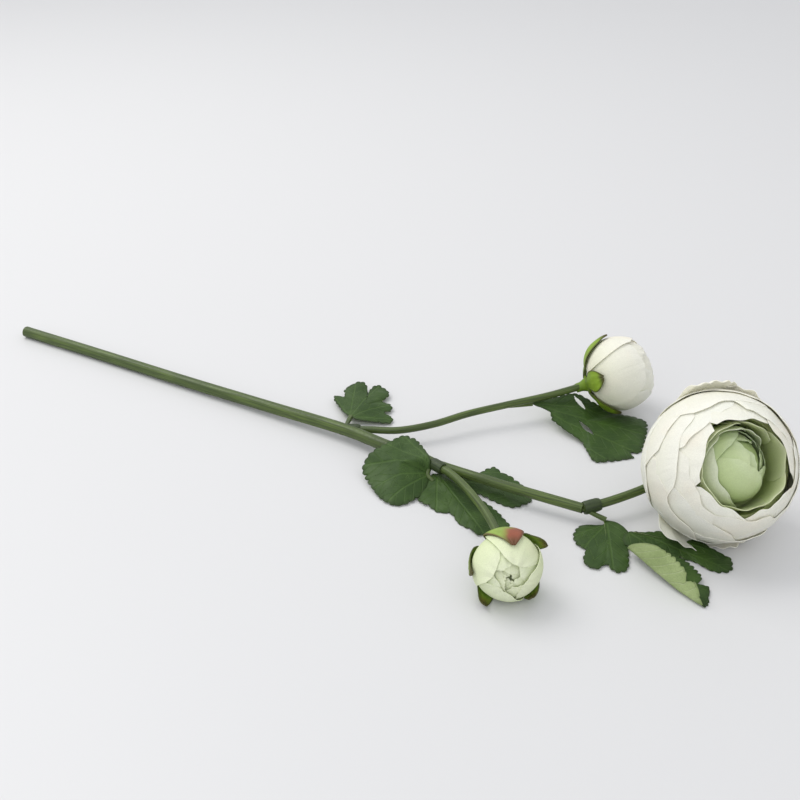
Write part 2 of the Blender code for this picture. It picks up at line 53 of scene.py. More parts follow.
# Camera of the photograph
CAMERA_PLACE = Vector((0.3141, -0.4839, 0.348))
CAMERA_AZIMUTH = 30.5
CAMERA_ELEVATION = 30.0
CAMERA_LENS = 54.0
SENSOR_WIDTH = 36.0
NEAR_CLIP = 0.01
FAR_CLIP = 50.0

# Floor and studio light, in metres and watts
FLOOR_HALF = 6.0
FLOOR_COLOUR = "#D3D3D4"
FLOOR_ROUGHNESS = 0.42
FLOOR_SPECULAR = 0.3
SKY_COLOUR = (0.97, 0.98, 1.0, 1.0)
SKY_STRENGTH = 0.86
LIGHT_TARGET = (0.1, 0.0, 0.0)
Light = namedtuple("Light", "name place size energy colour")
LIGHTS = (Light("key", (-0.75, 0.05, 1.15), 0.9, 9.0, (1.0, 0.985, 0.955)),
          Light("fill", (0.4, -1.2, 0.9), 1.2, 4.0, (0.95, 0.97, 1.0)))

# Stems
MAIN_RADIUS = 3.4
UPPER_RADIUS = 2.6
BLOOM_STEM_RADIUS = 2.25
FRONT_STEM_RADIUS = 2.1
BACK_STEM_RADIUS = 2.0
PETIOLE_RADIUS = 1.1
SLEEVE_WALL = 0.9
SLEEVE_LENGTH = 9.0
SLEEVE_PLAY = 0.3
SLEEVE_SETBACK = 0.4
SLEEVE_STEPS = 8
TAPER_LENGTH = 8.0
STEM_GAP = 0.7
CUT_END = (-240.0, -13.8, 3.3)
FORK_BACK = (2.0, -15.6, 6.2)
FORK_FRONT = (61.2, -23.0, 8.0)
FORK_BLOOM = (144.8, -21.2, 8.0)

# Heads
BLOOM_CENTRE = (201.3, 4.7, 36.8)
BLOOM_AXIS = (0.556, -0.632, 0.540)
BLOOM_RADIUS = 37.2
BLOOM_CORE = 31.0
BLOOM_BASE = 158.0
# Opening of the bloom's core, as (radius, height) from its lip to its floor
OPENING_PROFILE = [(22.4, 20.0), (21.9, 8.0), (20.4, -3.0), (16.0, -11.5), (9.0, -17.3), (0.5, -19.0)]
BLOOM_RING_PETALS = 5
BLOOM_PETAL_SPAN = 70.0
BLOOM_HALF_ANGLE = 53.0
BLOOM_FIRST_TURN = 14.0
BLOOM_RING_TURN = 37.0
# Rim angle and radius of each ring of petals, from the opening outwards
BLOOM_RINGS = ((37.0, 34.6), (45.0, 35.1), (56.0, 35.6), (72.0, 36.1), (90.0, 36.6))
# Azimuth, rim angle and outward turn of the loose petals at the back
BLOOM_LOOSE = ((88.0, 80.0, 3.0), (62.0, 88.0, 1.5), (240.0, 92.0, 4.0), (276.0, 96.0, 2.0))
LOOSE_HALF_ANGLE = 27.0
FRONT_CENTRE = (136.8, -90.0, 15.9)
FRONT_AXIS = (0.490, -0.832, 0.260)
FRONT_RADIUS = 15.7
FRONT_CORE = 12.7
BACK_CENTRE = (118.0, 88.0, 24.2)
BACK_AXIS = (0.780, 0.510, 0.360)
BACK_RADIUS = 20.9
BACK_CORE = 17.7

# Heart: a bud set in the bloom's opening and leaned over
HEART_PLACE = Vector((-1.0, 0.0, 8.0))
HEART_LEAN = 46.0
HEART_TOWARDS = 32.0
HEART_CORE = 15.6
HEART_SPAN = 88.0
HEART_HALF_ANGLE = 66.0
HEART_RING_PETALS = 3
# Rim angle, radius and first azimuth of each ring of the heart's petals
HEART_RINGS = ((36.0, 18.0, 240.0), (26.0, 17.3, 180.0), (13.0, 16.6, 210.0))

# Lining of the opening: a cup as (radius, height), a ring of petals, and paler petals inside them
CUP_PROFILE = [(0.5, -18.4), (8.6, -16.6), (15.4, -11.0), (19.7, -4.0), (21.0, 3.0), (20.6, 4.0),
               (15.0, 2.0), (0.5, 6.0)]
LINING_PETALS = 7
LINING_RADIUS = 20.9
LINING_STEP = 0.35
LINING_FLOOR = 1.0
LINING_HALF_ANGLE = 38.0
# Azimuth, height and radius of the paler petals
PALE_PETALS = ((96.0, 25.0, 19.4), (58.0, 22.0, 19.0), (138.0, 24.0, 19.0))
PALE_HALF_ANGLE = 34.0
# Broad pale flap that stands between the heart and the lining
FLAP_ROOT_RADIUS = 20.0
FLAP_RIM_RADIUS = 26.0
FLAP_AZIMUTH = 192.0
FLAP_HALF_ANGLE = 80.0

# Calyx: where its sepals start, and how far they lie off the petals
SEPAL_ROOT = 166.0
SEPAL_GAP = 1.3
CALYX_WALL = 0.9
CALYX_EDGE = 160.0
BUD_BASE = 152.0

# Rings of the buds' petals, outermost first: count, rim angle, radius, first azimuth, lean and base angle
FRONT_RINGS = ((4, 25.0, FRONT_RADIUS, 62.0, 0.0, BUD_BASE), (4, 19.0, FRONT_RADIUS - 0.8, 20.0, 0.0, 110.0),
               (3, 13.0, FRONT_RADIUS - 1.6, 75.0, 4.0, 90.0), (3, 8.0, FRONT_RADIUS - 2.4, 20.0, 6.0, 80.0))
BACK_RINGS = ((4, 46.0, BACK_RADIUS, 145.0, 0.0, BUD_BASE), (4, 32.0, BACK_RADIUS - 0.9, 190.0, 0.0, 120.0),
              (3, 22.0, BACK_RADIUS - 1.7, 130.0, 4.0, 100.0), (3, 12.0, BACK_RADIUS - 2.5, 60.0, 6.0, 90.0))

# Rows and columns of the sheets
BLOOM_GRID = (24, 30)
LOOSE_GRID = (22, 24)
LINING_GRID = (18, 24)
HEART_GRID = (20, 28)
FLAP_GRID = (22, 40)
BUD_GRID = (20, 26)
SEPAL_GRID = (26, 16)
FOLD_GRID = (110, 26)

# Sheets
PETAL = 0.3
SEPAL = 0.5
LEAF = 0.35
TABLE_CLEARANCE = 0.25
LEAF_TIP_HEIGHT = 0.5

Leaflet = namedtuple("Leaflet", "root heading length half_width turn arch fold")
Sepal = namedtuple("Sepal", "azimuth tip half_angle twist curl")
# A blade has its middle, its outline in turn, the leaf's root, the headings of its veins and its slits
Blade = namedtuple("Blade", "middle outline root veins arch slits")
TOOTH_PITCH = 4.2
TOOTH_DEPTH = 1.9
OUTLINE_STEP = 0.5
BLADE_ROWS = 14
SLIT_ROWS = 44
# The folded lobe: its teeth, its one notch as (place, depth), and how far its sides sweep forward
FOLD_TOOTH_PITCH = 3.36
FOLD_NOTCH = (0.70, 0.26)
FOLD_NOTCH_WIDTH = 0.045
FOLD_SWEEP = 0.5
FOLD_STEPS = 12

# Grain of the surfaces: noise scales per metre, and stretches across and along a sheet
CLOTH_CLOUD = 60.0
CLOTH_WEAVE = 2600.0
PETAL_CREASE = (0.55, 0.06, 1.0)
SEPAL_MOTTLE = 220.0
SEPAL_VEIN = (1.1, 0.10, 1.0)
LEAF_MOTTLE = 90.0
LEAF_WEAVE = 1800.0
VEIN_SLANT = 1.1
VEIN_PACE = 0.16
STEM_STREAK = (1.4, 0.05, 1.0)
STEM_CLOUD = 45.0
STEM_GRAIN = 900.0


def vec(point):
    return Vector(point)


def smooth(t):
    t = min(1.0, max(0.0, t))
    return t * t * (3.0 - 2.0 * t)


def linear(code):
    """Linear colour of a display colour written as a hex code."""
    parts = [int(code[i:i + 2], 16) / 255.0 for i in (1, 3, 5)]
    return tuple(c / 12.92 if c <= 0.04045 else ((c + 0.055) / 1.055) ** 2.4 for c in parts) + (1.0,)


class Look:
    """One material, built node by node round a Principled shader."""

    def __init__(self, name, roughness, specular=0.3, sheen=0.0):
        self.material = bpy.data.materials.new(name)
        self.material.use_nodes = True
        self.tree = self.material.node_tree
        self.shader = self.tree.nodes["Principled BSDF"]
        self.shader.inputs["Roughness"].default_value = roughness
        self.shader.inputs["Specular IOR Level"].default_value = specular
        self.shader.inputs["Sheen Weight"].default_value = sheen
        self.shader.inputs["Sheen Roughness"].default_value = 0.5
        tone = self.node("ShaderNodeAttribute", attribute_name="tone")
        split = self.node("ShaderNodeSeparateColor")
        self.link(tone.outputs["Color"], split.inputs[0])
        self.along, self.edge, self.chance = split.outputs[0], split.outputs[1], split.outputs[2]
        place = self.node("ShaderNodeAttribute", attribute_name="place")
        self.place = place.outputs["Vector"]
        self.object_place = self.node("ShaderNodeTexCoord").outputs["Object"]

    def node(self, kind, **settings):
        made = self.tree.nodes.new(kind)
        for name, value in settings.items():
            setattr(made, name, value)
        return made

    def link(self, source, target):
        self.tree.links.new(source, target)

    def put(self, target, value):
        if isinstance(value, bpy.types.NodeSocket):
            self.link(value, target)
        else:
            target.default_value = value

    def math(self, operation, *values, clamp=False):
        made = self.node("ShaderNodeMath", operation=operation, use_clamp=clamp)
        for index, value in enumerate(values):
            self.put(made.inputs[index], value)
        return made.outputs[0]

    def ramp(self, value, low, high, to_low=0.0, to_high=1.0):
        """The value taken smoothly from the span low..high to the span to_low..to_high."""
        made = self.node("ShaderNodeMapRange", interpolation_type="SMOOTHSTEP")
        for index, item in enumerate((value, low, high, to_low, to_high)):
            self.put(made.inputs[index], item)
        return made.outputs[0]

    def mix(self, share, a, b, blend="MIX"):
        made = self.node("ShaderNodeMix", data_type="RGBA", blend_type=blend)
        self.put(made.inputs[0], share)
        self.put(made.inputs[6], linear(a) if isinstance(a, str) else a)
        self.put(made.inputs[7], linear(b) if isinstance(b, str) else b)
        return made.outputs[2]

    def speckle(self, scale, detail=2.0, stretch=None, source=None):
        """Noise from 0 to 1; stretch scales the three axes of the source coordinates."""
        made = self.node("ShaderNodeTexNoise")
        made.inputs["Scale"].default_value = scale
        made.inputs["Detail"].default_value = detail
        coordinates = source or self.object_place
        if stretch:
            mapping = self.node("ShaderNodeMapping")
            mapping.inputs["Scale"].default_value = stretch
            self.link(coordinates, mapping.inputs["Vector"])
            coordinates = mapping.outputs[0]
        self.link(coordinates, made.inputs["Vector"])
        return made.outputs[0]

    def bump(self, height, strength, distance):
        made = self.node("ShaderNodeBump")
        made.inputs["Strength"].default_value = strength
        made.inputs["Distance"].default_value = distance
        self.link(height, made.inputs["Height"])
        self.link(made.outputs[0], self.shader.inputs["Normal"])

    def colour(self, socket):
        self.link(socket, self.shader.inputs["Base Color"])

    def rough(self, socket):
        self.link(socket, self.shader.inputs["Roughness"])

    def let_light_through(self, share, colour):
        """Thin cloth: part of the light passes to the other side."""
        behind = self.node("ShaderNodeBsdfTranslucent")
        self.put(behind.inputs["Color"], colour)
        both = self.node("ShaderNodeMixShader")
        both.inputs[0].default_value = share
        out = self.tree.nodes["Material Output"]
        self.link(self.shader.outputs[0], both.inputs[1])
        self.link(behind.outputs[0], both.inputs[2])
        self.link(both.outputs[0], out.inputs["Surface"])


def petal_look(name, rim, body, root, blush, share=0.3):
    """Fine matt cloth: paler at the rim, greener at the root, with a crease grain along the petal."""
    look = Look(name, 0.7, specular=0.2, sheen=0.05)
    soft = look.speckle(CLOTH_CLOUD, 3.0)
    base = look.mix(look.ramp(look.along, 0.25, 0.75), root, body)
    base = look.mix(look.ramp(look.along, 0.72, 1.0), base, rim)
    base = look.mix(look.ramp(soft, 0.48, 0.75, 0.0, 0.55), base, blush)
    tinted = look.mix(look.math("MULTIPLY", look.chance, 0.35), base, blush)
    weave = look.speckle(CLOTH_WEAVE, 1.0)
    shade = look.ramp(weave, 0.3, 0.7, 0.94, 1.03)
    shaded = look.mix(1.0, tinted, shade, blend="MULTIPLY")
    look.colour(shaded)
    crease = look.speckle(1.0, 3.0, PETAL_CREASE, look.place)
    height = look.math("ADD", crease, look.math("MULTIPLY", weave, 0.12))
    look.bump(height, 0.55, 0.0005)
    look.rough(look.ramp(weave, 0.2, 0.8, 0.62, 0.8))
    look.let_light_through(share, shaded)
    return look.material


def sepal_look(name, body, root, tip, edge, tip_start, slant=0.0):
    """Pressed cloth sepal that turns to the tip's colour, with a fine dark edge."""
    look = Look(name, 0.55, specular=0.35)
    mottle = look.speckle(SEPAL_MOTTLE, 3.0)
    base = look.mix(look.ramp(look.along, 0.1, 0.5), root, body)
    uneven = look.math("MULTIPLY", look.math("SUBTRACT", mottle, 0.5), 0.25)
    turn = look.math("ADD", look.along, uneven)
    split = look.node("ShaderNodeSeparateXYZ")
    look.link(look.place, split.inputs[0])
    turn = look.math("SUBTRACT", turn, look.math("MULTIPLY", split.outputs[0], slant))
    base = look.mix(look.ramp(turn, tip_start, tip_start + 0.3), base, tip)
    base = look.mix(look.ramp(look.edge, 0.80, 0.97, 0.0, 0.85), base, edge)
    shade = look.ramp(mottle, 0.3, 0.7, 0.9, 1.08)
    look.colour(look.mix(1.0, base, shade, blend="MULTIPLY"))
    vein = look.speckle(1.0, 2.0, SEPAL_VEIN, look.place)
    look.bump(vein, 0.5, 0.0004)
    return look.material


def leaf_look(name, light, dark, vein_colour, edge, vein_share, roughness):
    """Pressed cloth leaf face, with a midrib, slanted side veins and a fine cloth grain."""
    look = Look(name, roughness, specular=0.3)
    split = look.node("ShaderNodeSeparateXYZ")
    look.link(look.place, split.inputs[0])
    across = look.math("ABSOLUTE", split.outputs[0])
    slant = look.math("SUBTRACT", split.outputs[1], look.math("MULTIPLY", across, VEIN_SLANT))
    saw = look.math("PINGPONG", look.math("MULTIPLY", slant, VEIN_PACE), 0.5)
    side_vein = look.ramp(saw, 0.0, 0.075, 1.0, 0.0)
    midrib = look.ramp(across, 0.15, 0.75, 1.0, 0.0)
    veins = look.math("MAXIMUM", side_vein, midrib)
    mottle = look.speckle(LEAF_MOTTLE, 4.0)
    base = look.mix(look.ramp(mottle, 0.3, 0.7), light, dark)
    base = look.mix(look.math("MULTIPLY", look.chance, 0.5), base, dark)
    base = look.mix(look.math("MULTIPLY", veins, vein_share), base, vein_colour)
    base = look.mix(look.ramp(look.edge, 0.90, 1.0, 0.0, 0.6), base, edge)
    weave = look.speckle(LEAF_WEAVE, 1.0)
    shade = look.ramp(weave, 0.3, 0.7, 0.90, 1.08)
    look.colour(look.mix(1.0, base, shade, blend="MULTIPLY"))
    height = look.math("ADD", look.math("MULTIPLY", veins, -0.8), look.math("MULTIPLY", weave, 0.25))
    look.bump(height, 0.6, 0.0004)
    look.rough(look.ramp(mottle, 0.3, 0.7, roughness - 0.06, roughness + 0.1))
    return look.material


def stem_look(name, light, dark, roughness):
    """Moulded plastic rod with a fine grain along it and mottled colour."""
    look = Look(name, roughness, specular=0.4)
    streak = look.speckle(1.0, 3.0, STEM_STREAK, look.place)
    cloud = look.speckle(STEM_CLOUD, 3.0)
    base = look.mix(look.ramp(streak, 0.35, 0.65), light, dark)
    base = look.mix(look.ramp(cloud, 0.40, 0.70, 0.0, 0.5), base, dark)
    look.colour(base)
    grain = look.speckle(STEM_GRAIN, 2.0)
    height = look.math("ADD", streak, look.math("MULTIPLY", grain, 0.3))
    look.bump(height, 0.45, 0.0004)
    look.rough(look.ramp(grain, 0.3, 0.7, roughness - 0.08, roughness + 0.08))
    return look.material


class Form:
    """Mesh under construction, with the tone and place of each point for its materials."""

    def __init__(self, name, looks):
        self.name = name
        self.looks = looks
        self.points = []
        self.faces = []
        self.slots = []
        self.tones = []
        self.places = []

    def add_point(self, point, tone, place):
        self.points.append(point)
        self.tones.append(tone)
        self.places.append(place)

    def add_face(self, corners, slot):
        self.faces.append(corners)
        self.slots.append(slot)

    def sheet(self, surface, rows, columns, thickness, chance, slots=(0, 0), size=(30.0, 30.0)):
        """Thin closed sheet along surface(u, v), u from -1 to 1 and v from 0 to 1.

        slots gives the material of the outer and of the inner face, and size its width and length.
        """
        grid = [[surface(2.0 * j / columns - 1.0, i / rows) for j in range(columns + 1)]
                for i in range(rows + 1)]
        for row in grid:
            for point in row:
                point.z = max(point.z, TABLE_CLEARANCE)
        seed = chance.random()
        start = len(self.points)
        for sign in (0.5, -0.5):
            for i in range(rows + 1):
                for j in range(columns + 1):
                    across = grid[i][min(j + 1, columns)] - grid[i][max(j - 1, 0)]
                    along = grid[min(i + 1, rows)][j] - grid[max(i - 1, 0)][j]
                    normal = across.cross(along).normalized()
                    u = 2.0 * j / columns - 1.0
                    v = i / rows
                    edge = max(abs(u), v)
                    self.add_point(grid[i][j] + normal * thickness * sign, (v, edge, seed, 1.0),
                                   (u * size[0] * 0.5, v * size[1], seed * 50.0))
        back = (rows + 1) * (columns + 1)
        wide = columns + 1
        for i in range(rows):
            for j in range(columns):
                a = start + i * wide + j
                self.add_face((a, a + 1, a + wide + 1, a + wide), slots[0])
                self.add_face((a + back, a + back + wide, a + back + wide + 1, a + back + 1), slots[1])
        border = list(range(columns))
        border += [i * wide + columns for i in range(rows)]
        border += [rows * wide + j for j in range(columns, 0, -1)]
        border += [i * wide for i in range(rows, 0, -1)]
        for a, b in zip(border, border[1:] + border[:1]):
            self.add_face((start + b, start + a, start + a + back, start + b + back), slots[0])

    def blade(self, shape, chance, rows=BLADE_ROWS, drape=0):
        """Thin closed leaf blade, in rings from its middle out to a toothed outline.

        drape is 1 to lie over the stems, -1 to pass under them and 0 to pass them by.
        """
        outline = even_outline(shape.outline)
        count = len(outline)
        middle = vec(shape.middle)
        root = vec(shape.root)
        shift = [chance.uniform(0.0, 40.0) for _ in range(2)]
        seed = chance.random()
        grid = []
        rings = [((k + 1.0) / rows) ** 0.85 for k in range(rows)]
        for share in rings:
            row = []
            for number, far in enumerate(outline):
                ahead = outline[(number + 2) % count] - outline[number - 2]
                inward = Vector((-ahead.y, ahead.x, 0.0)).normalized()
                if inward.dot(middle - far) < 0.0:
                    inward = -inward
                bare = smooth(((far - root).length - 8.0) / 8.0)
                tooth = 1.0 - abs(math.sin(math.pi * number * OUTLINE_STEP / TOOTH_PITCH)) ** 0.6
                uneven = noise.noise(far * 0.2 + Vector((shift[0], 0.0, 0.0)))
                depth = TOOTH_DEPTH * bare * (0.6 + 0.8 * uneven)
                point = middle.lerp(far, share) + inward * depth * tooth * smooth((share - 0.86) / 0.14)
                swell = noise.noise(Vector((point.x * 0.09 + shift[0], point.y * 0.09, shift[1])))
                ruffle = noise.noise(Vector((point.x * 0.3 + shift[1], point.y * 0.3, shift[0])))
                point.z += shape.arch * (1.0 - share * share) + (0.8 * swell + 0.35 * ruffle) * share
                row.append(rest_on(point, drape))
            grid.append(row)
        middle = rest_on(middle + Vector((0.0, 0.0, shape.arch)), drape)
        start = len(self.points)
        for sign in (0.5, -0.5):
            for k in range(rows):
                for number in range(count):
                    across = grid[k][(number + 1) % count] - grid[k][number - 1]
                    outward = grid[min(k + 1, rows - 1)][number] - (grid[k - 1][number] if k else middle)
                    normal = outward.cross(across)
                    normal = normal.normalized() if normal.length > 1e-9 else Vector((0.0, 0.0, 1.0))
                    if normal.z < 0.0:
                        normal = -normal
                    point = grid[k][number]
                    away = point - root
                    heading = math.degrees(math.atan2(away.y, away.x))
                    offs = [(heading - vein + 180.0) % 360.0 - 180.0 for vein in shape.veins]
                    off = math.radians(min(offs, key=abs))
                    reach = math.hypot(away.x, away.y)
                    self.add_point(point + normal * LEAF * sign, (rings[k], rings[k], seed, 1.0),
                                   (reach * math.sin(off), reach * math.cos(off), seed * 50.0))
            away = middle - root
            self.add_point(middle + Vector((0.0, 0.0, LEAF * sign)), (0.0, 0.0, seed, 1.0),
                           (1.0, away.length, seed * 50.0))
        size = rows * count + 1
        turn = sum((a.x - middle.x) * (b.y - middle.y) - (b.x - middle.x) * (a.y - middle.y)
                   for a, b in zip(outline, outline[1:] + outline[:1]))
        order = 1 if turn > 0.0 else -1

        def open_at(k, number):
            centre = (grid[k][number] + grid[min(k + 1, rows - 1)][(number + 1) % count]) * 0.5
            return any(in_slit(centre, slit) for slit in shape.slits)

        kept = [[not open_at(k, number) for number in range(count)] for k in range(rows - 1)]
        upper_middle = start + size - 1
        lower_middle = upper_middle + size
        for number in range(count):
            after = (number + 1) % count
            near, far = start + number, start + after
            self.add_face((upper_middle, near, far)[::order], 0)
            self.add_face((lower_middle, far + size, near + size)[::order], 1)
        for k in range(rows - 1):
            for number in range(count):
                if not kept[k][number]:
                    continue
                after = (number + 1) % count
                a, b = start + k * count + number, start + k * count + after
                c, d = b + count, a + count
                self.add_face((a, d, c, b)[::order], 0)
                self.add_face((a + size, b + size, c + size, d + size)[::order], 1)
                walls = [(c, d, k + 1 > rows - 2 or not kept[k + 1][number]),
                         (a, b, k > 0 and not kept[k - 1][number]),
                         (b, c, not kept[k][after]), (d, a, not kept[k][number - 1])]
                for near, far, bare in walls:
                    if bare:
                        self.add_face((near, far, far + size, near + size)[::order], 0)

    def close_rings(self, start, rings, sides, slot):
        """Faces between neighbouring rings of points, and over the first and the last ring."""
        for ring in range(rings - 1):
            for corner in range(sides):
                a = start + ring * sides + corner
                b = start + ring * sides + (corner + 1) % sides
                self.add_face((a, b, b + sides, a + sides), slot)
        self.add_face(tuple(start + c for c in reversed(range(sides))), slot)
        last = start + (rings - 1) * sides
        self.add_face(tuple(last + c for c in range(sides)), slot)

    def rod(self, curve, radii, sides, chance, slot=0, ribs=0.0, twist=0.0):
        """Closed rod along the curve; ribs is the depth of fine lengthwise grooves."""
        seed = chance.random()
        start = len(self.points)
        side = None
        walked = 0.0
        for index, centre in enumerate(curve):
            ahead = curve[min(index + 1, len(curve) - 1)] - curve[max(index - 1, 0)]
            ahead.normalize()
            reference = side if side else Vector((0.0, 0.0, 1.0))
            side = (reference - ahead * reference.dot(ahead)).normalized()
            across = ahead.cross(side)
            if index:
                walked += (centre - curve[index - 1]).length
            for corner in range(sides):
                angle = 2.0 * math.pi * corner / sides
                radius = radii[index] - ribs * (0.5 + 0.5 * math.cos(5.0 * angle + twist * walked))
                point = centre + (side * math.cos(angle) + across * math.sin(angle)) * radius
                point.z = max(point.z, 0.0)
                self.add_point(point, (index / (len(curve) - 1.0), 0.0, seed, 1.0),
                               (angle * radii[index], walked, seed * 50.0))
        self.close_rings(start, len(curve), sides, slot)

    def turned(self, head, profile, sides, chance, slot=0):
        """Closed solid of revolution round a head's axis, through (radius, height) from the bottom up."""
        seed = chance.random()
        start = len(self.points)
        for index, (radius, height) in enumerate(profile):
            for corner in range(sides):
                angle = 2.0 * math.pi * corner / sides
                point = head @ Vector((radius * math.cos(angle), radius * math.sin(angle), height))
                point.z = max(point.z, TABLE_CLEARANCE)
                self.add_point(point, (index / len(profile) * 0.5, 0.0, seed, 1.0),
                               (angle * radius, height, seed * 50.0))
        self.close_rings(start, len(profile), sides, slot)

    def make(self, slot, *nodes):
        """The finished piece, which rides on the part and stands for the named nodes."""
        mesh = bpy.data.meshes.new(self.name)
        mesh.from_pydata([(p + FOOTPRINT_SHIFT) * MM for p in self.points], [], self.faces)
        for look in self.looks:
            mesh.materials.append(look)
        mesh.polygons.foreach_set("material_index", self.slots)
        tone = mesh.attributes.new("tone", "FLOAT_COLOR", "POINT")
        tone.data.foreach_set("color", [c for t in self.tones for c in t])
        place = mesh.attributes.new("place", "FLOAT_VECTOR", "POINT")
        place.data.foreach_set("vector", [c for t in self.places for c in t])
        mesh.shade_smooth()
        mesh.set_sharp_from_angle(angle=math.radians(60.0))
        piece = bpy.data.objects.new(self.name, mesh)
        bpy.context.scene.collection.objects.link(piece)
        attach(piece, "root")
        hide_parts(*nodes)
        return piece


def spline(points, steps):
    """Smooth curve through the points, with the given number of steps between neighbours."""
    route = [vec(p) for p in points]
    padded = [route[0] * 2.0 - route[1]] + route + [route[-1] * 2.0 - route[-2]]
    curve = []
    for a, b, c, d in zip(padded, padded[1:], padded[2:], padded[3:]):
        for step in range(steps):
            t = step / steps
            curve.append(0.5 * (2.0 * b + (c - a) * t + (2.0 * a - 5.0 * b + 4.0 * c - d) * t * t
                                + (3.0 * b - a - 3.0 * c + d) * t ** 3))
    curve.append(route[-1])
    return curve


def even_outline(points):
    """Smooth closed line through the points, in even steps."""
    rim = spline(points + points[:1], 8)
    walked = [0.0]
    for a, b in zip(rim, rim[1:]):
        walked.append(walked[-1] + (b - a).length)
    count = int(walked[-1] / OUTLINE_STEP)
    outline = []
    index = 0
    for number in range(count):
        target = walked[-1] * number / count
        while walked[index + 1] < target:
            index += 1
        share = (target - walked[index]) / max(1e-6, walked[index + 1] - walked[index])
        outline.append(rim[index].lerp(rim[index + 1], share))
    return outline


def head_frame(centre, axis):
    """Frame of a head, with its local Z along the axis."""
    turn = vec(axis).normalized().to_track_quat("Z", "Y").to_matrix().to_4x4()
    return Matrix.Translation(vec(centre)) @ turn


def tilted(head, lean, towards):
    """The head's frame, leaned by an angle towards an azimuth."""
    angle = math.radians(towards)
    hinge = Vector((-math.sin(angle), math.cos(angle), 0.0))
    return head @ Matrix.Rotation(math.radians(lean), 4, hinge)


def cup_meridian(core, radius, lift=1.6):
    """Radius along a petal that climbs out of the core to a shell."""
    def rise(v):
        return core - 0.6 + (radius - core + 0.6) * math.sin(0.5 * math.pi * min(1.0, lift * v))
    return rise


def petal_surface(head, chance, rise, rim, base, azimuth, half, crown=9.0, lap=0.65, curl=0.6, wave=1.2,
                  ripple=0.35, notch=0.0, pointed=False, twist=0.0):
    """Surface of a petal: rise(v) is its radius from the head's middle.

    crown rounds the rim off, wave and ripple make it uneven, curl turns it out, lap lifts one side over
    the next petal, and notch dents the middle of the rim.
    """
    shift = [chance.uniform(0.0, 2.0 * math.pi) for _ in range(4)]
    cycles = chance.uniform(1.2, 2.0)

    def surface(u, v):
        if pointed:
            width = math.sin(math.pi * (0.18 + 0.8 * v)) ** 0.8
        else:
            width = 0.62 + 0.38 * math.sin(math.pi * min(1.0, 0.25 + 0.75 * v))
        drop = crown * abs(u) ** 2.3 + notch * math.exp(-(u / 0.22) ** 2)
        drop += wave * v * (math.sin(cycles * math.pi * u + shift[0]) + 0.4 * math.sin(7.0 * u + shift[1]))
        polar = math.radians(base + (rim + drop - base) * v)
        outward = curl * smooth((v - 0.6) / 0.4) ** 2
        outward += ripple * v ** 3 * math.sin(2.2 * cycles * math.pi * u + shift[2])
        outward += 0.5 * ripple * v * math.sin(5.0 * v + 3.0 * u + shift[3])
        radius = rise(v) + lap * u + outward
        angle = math.radians(azimuth + u * half * width + twist * v)
        flat = math.sin(polar)
        out = Vector((flat * math.cos(angle), flat * math.sin(angle), math.cos(polar)))
        return head @ (out * radius)
    return surface


def ball_profile(radius, degrees, least):
    """Profile of a ball as (radius, height), at angles from its bottom, no narrower than least."""
    angles = [math.radians(degree) for degree in degrees]
    return [(max(least, radius * math.sin(a)), -radius * math.cos(a)) for a in angles]


def bloom_outer(looks):
    """Layers of white cloth petals round a core, with loose guard petals at the back."""
    chance = random.Random(SEED)
    form = Form("bloom_petals", looks)
    head = head_frame(BLOOM_CENTRE, BLOOM_AXIS)
    core = [(0.5, -BLOOM_CORE)] + ball_profile(BLOOM_CORE, range(8, 136, 8), 0.5)
    form.turned(head, core + OPENING_PROFILE, 48, chance, 1)
    for layer, (rim, radius) in enumerate(BLOOM_RINGS):
        base = min(BLOOM_BASE, rim + BLOOM_PETAL_SPAN)
        first = BLOOM_RING_TURN * layer + BLOOM_FIRST_TURN
        for index in range(BLOOM_RING_PETALS):
            azimuth = first + 360.0 / BLOOM_RING_PETALS * index + chance.uniform(-7.0, 7.0)
            rise = cup_meridian(BLOOM_CORE, radius + chance.uniform(-0.15, 0.15))
            uneven_rim = rim + chance.uniform(-2.0, 2.0)
            crown = chance.uniform(3.0, 5.5)
            curl = chance.uniform(0.1, 0.7) * smooth((95.0 - rim) / 60.0)
            surface = petal_surface(head, chance, rise, uneven_rim, base, azimuth, BLOOM_HALF_ANGLE,
                                    crown=crown, lap=0.35, curl=curl, wave=chance.uniform(0.7, 1.5),
                                    ripple=chance.uniform(0.08, 0.2), notch=chance.choice((0.0, 0.0, 1.0)))
            form.sheet(surface, *BLOOM_GRID, PETAL, chance, size=(54.0, 42.0))
    for azimuth, rim, curl in BLOOM_LOOSE:
        rise = cup_meridian(BLOOM_CORE, BLOOM_RADIUS + 0.2)
        surface = petal_surface(head, chance, rise, rim, BLOOM_BASE, azimuth, LOOSE_HALF_ANGLE, crown=8.0,
                                lap=0.3, curl=curl, wave=1.6, ripple=0.5)
        form.sheet(surface, *LOOSE_GRID, PETAL, chance, size=(46.0, 40.0))
    return form.make("white_petal", "bloom_outer_petals")


def wall_surface(head, chance, wall, low, high, azimuth, half, crown, wave, lean):
    """Surface of a lining petal that climbs the wall of the bloom's opening, from low to high.

    crown rounds its rim off, wave makes it uneven, and lean is how far its rim stands off the wall.
    """
    shift = [chance.uniform(0.0, 2.0 * math.pi) for _ in range(2)]

    def surface(u, v):
        height = low + (high - low - crown * abs(u) ** 2.2) * v
        height += wave * v * (math.sin(4.0 * u + shift[0]) + 0.4 * math.sin(9.0 * u + shift[1]))
        radius = wall - lean * v * v + 0.35 * u + 0.3 * v * v * math.sin(6.0 * u + shift[1])
        angle = math.radians(azimuth + u * half * (0.8 + 0.2 * math.sin(math.pi * v)))
        return head @ Vector((radius * math.cos(angle), radius * math.sin(angle), height))
    return surface


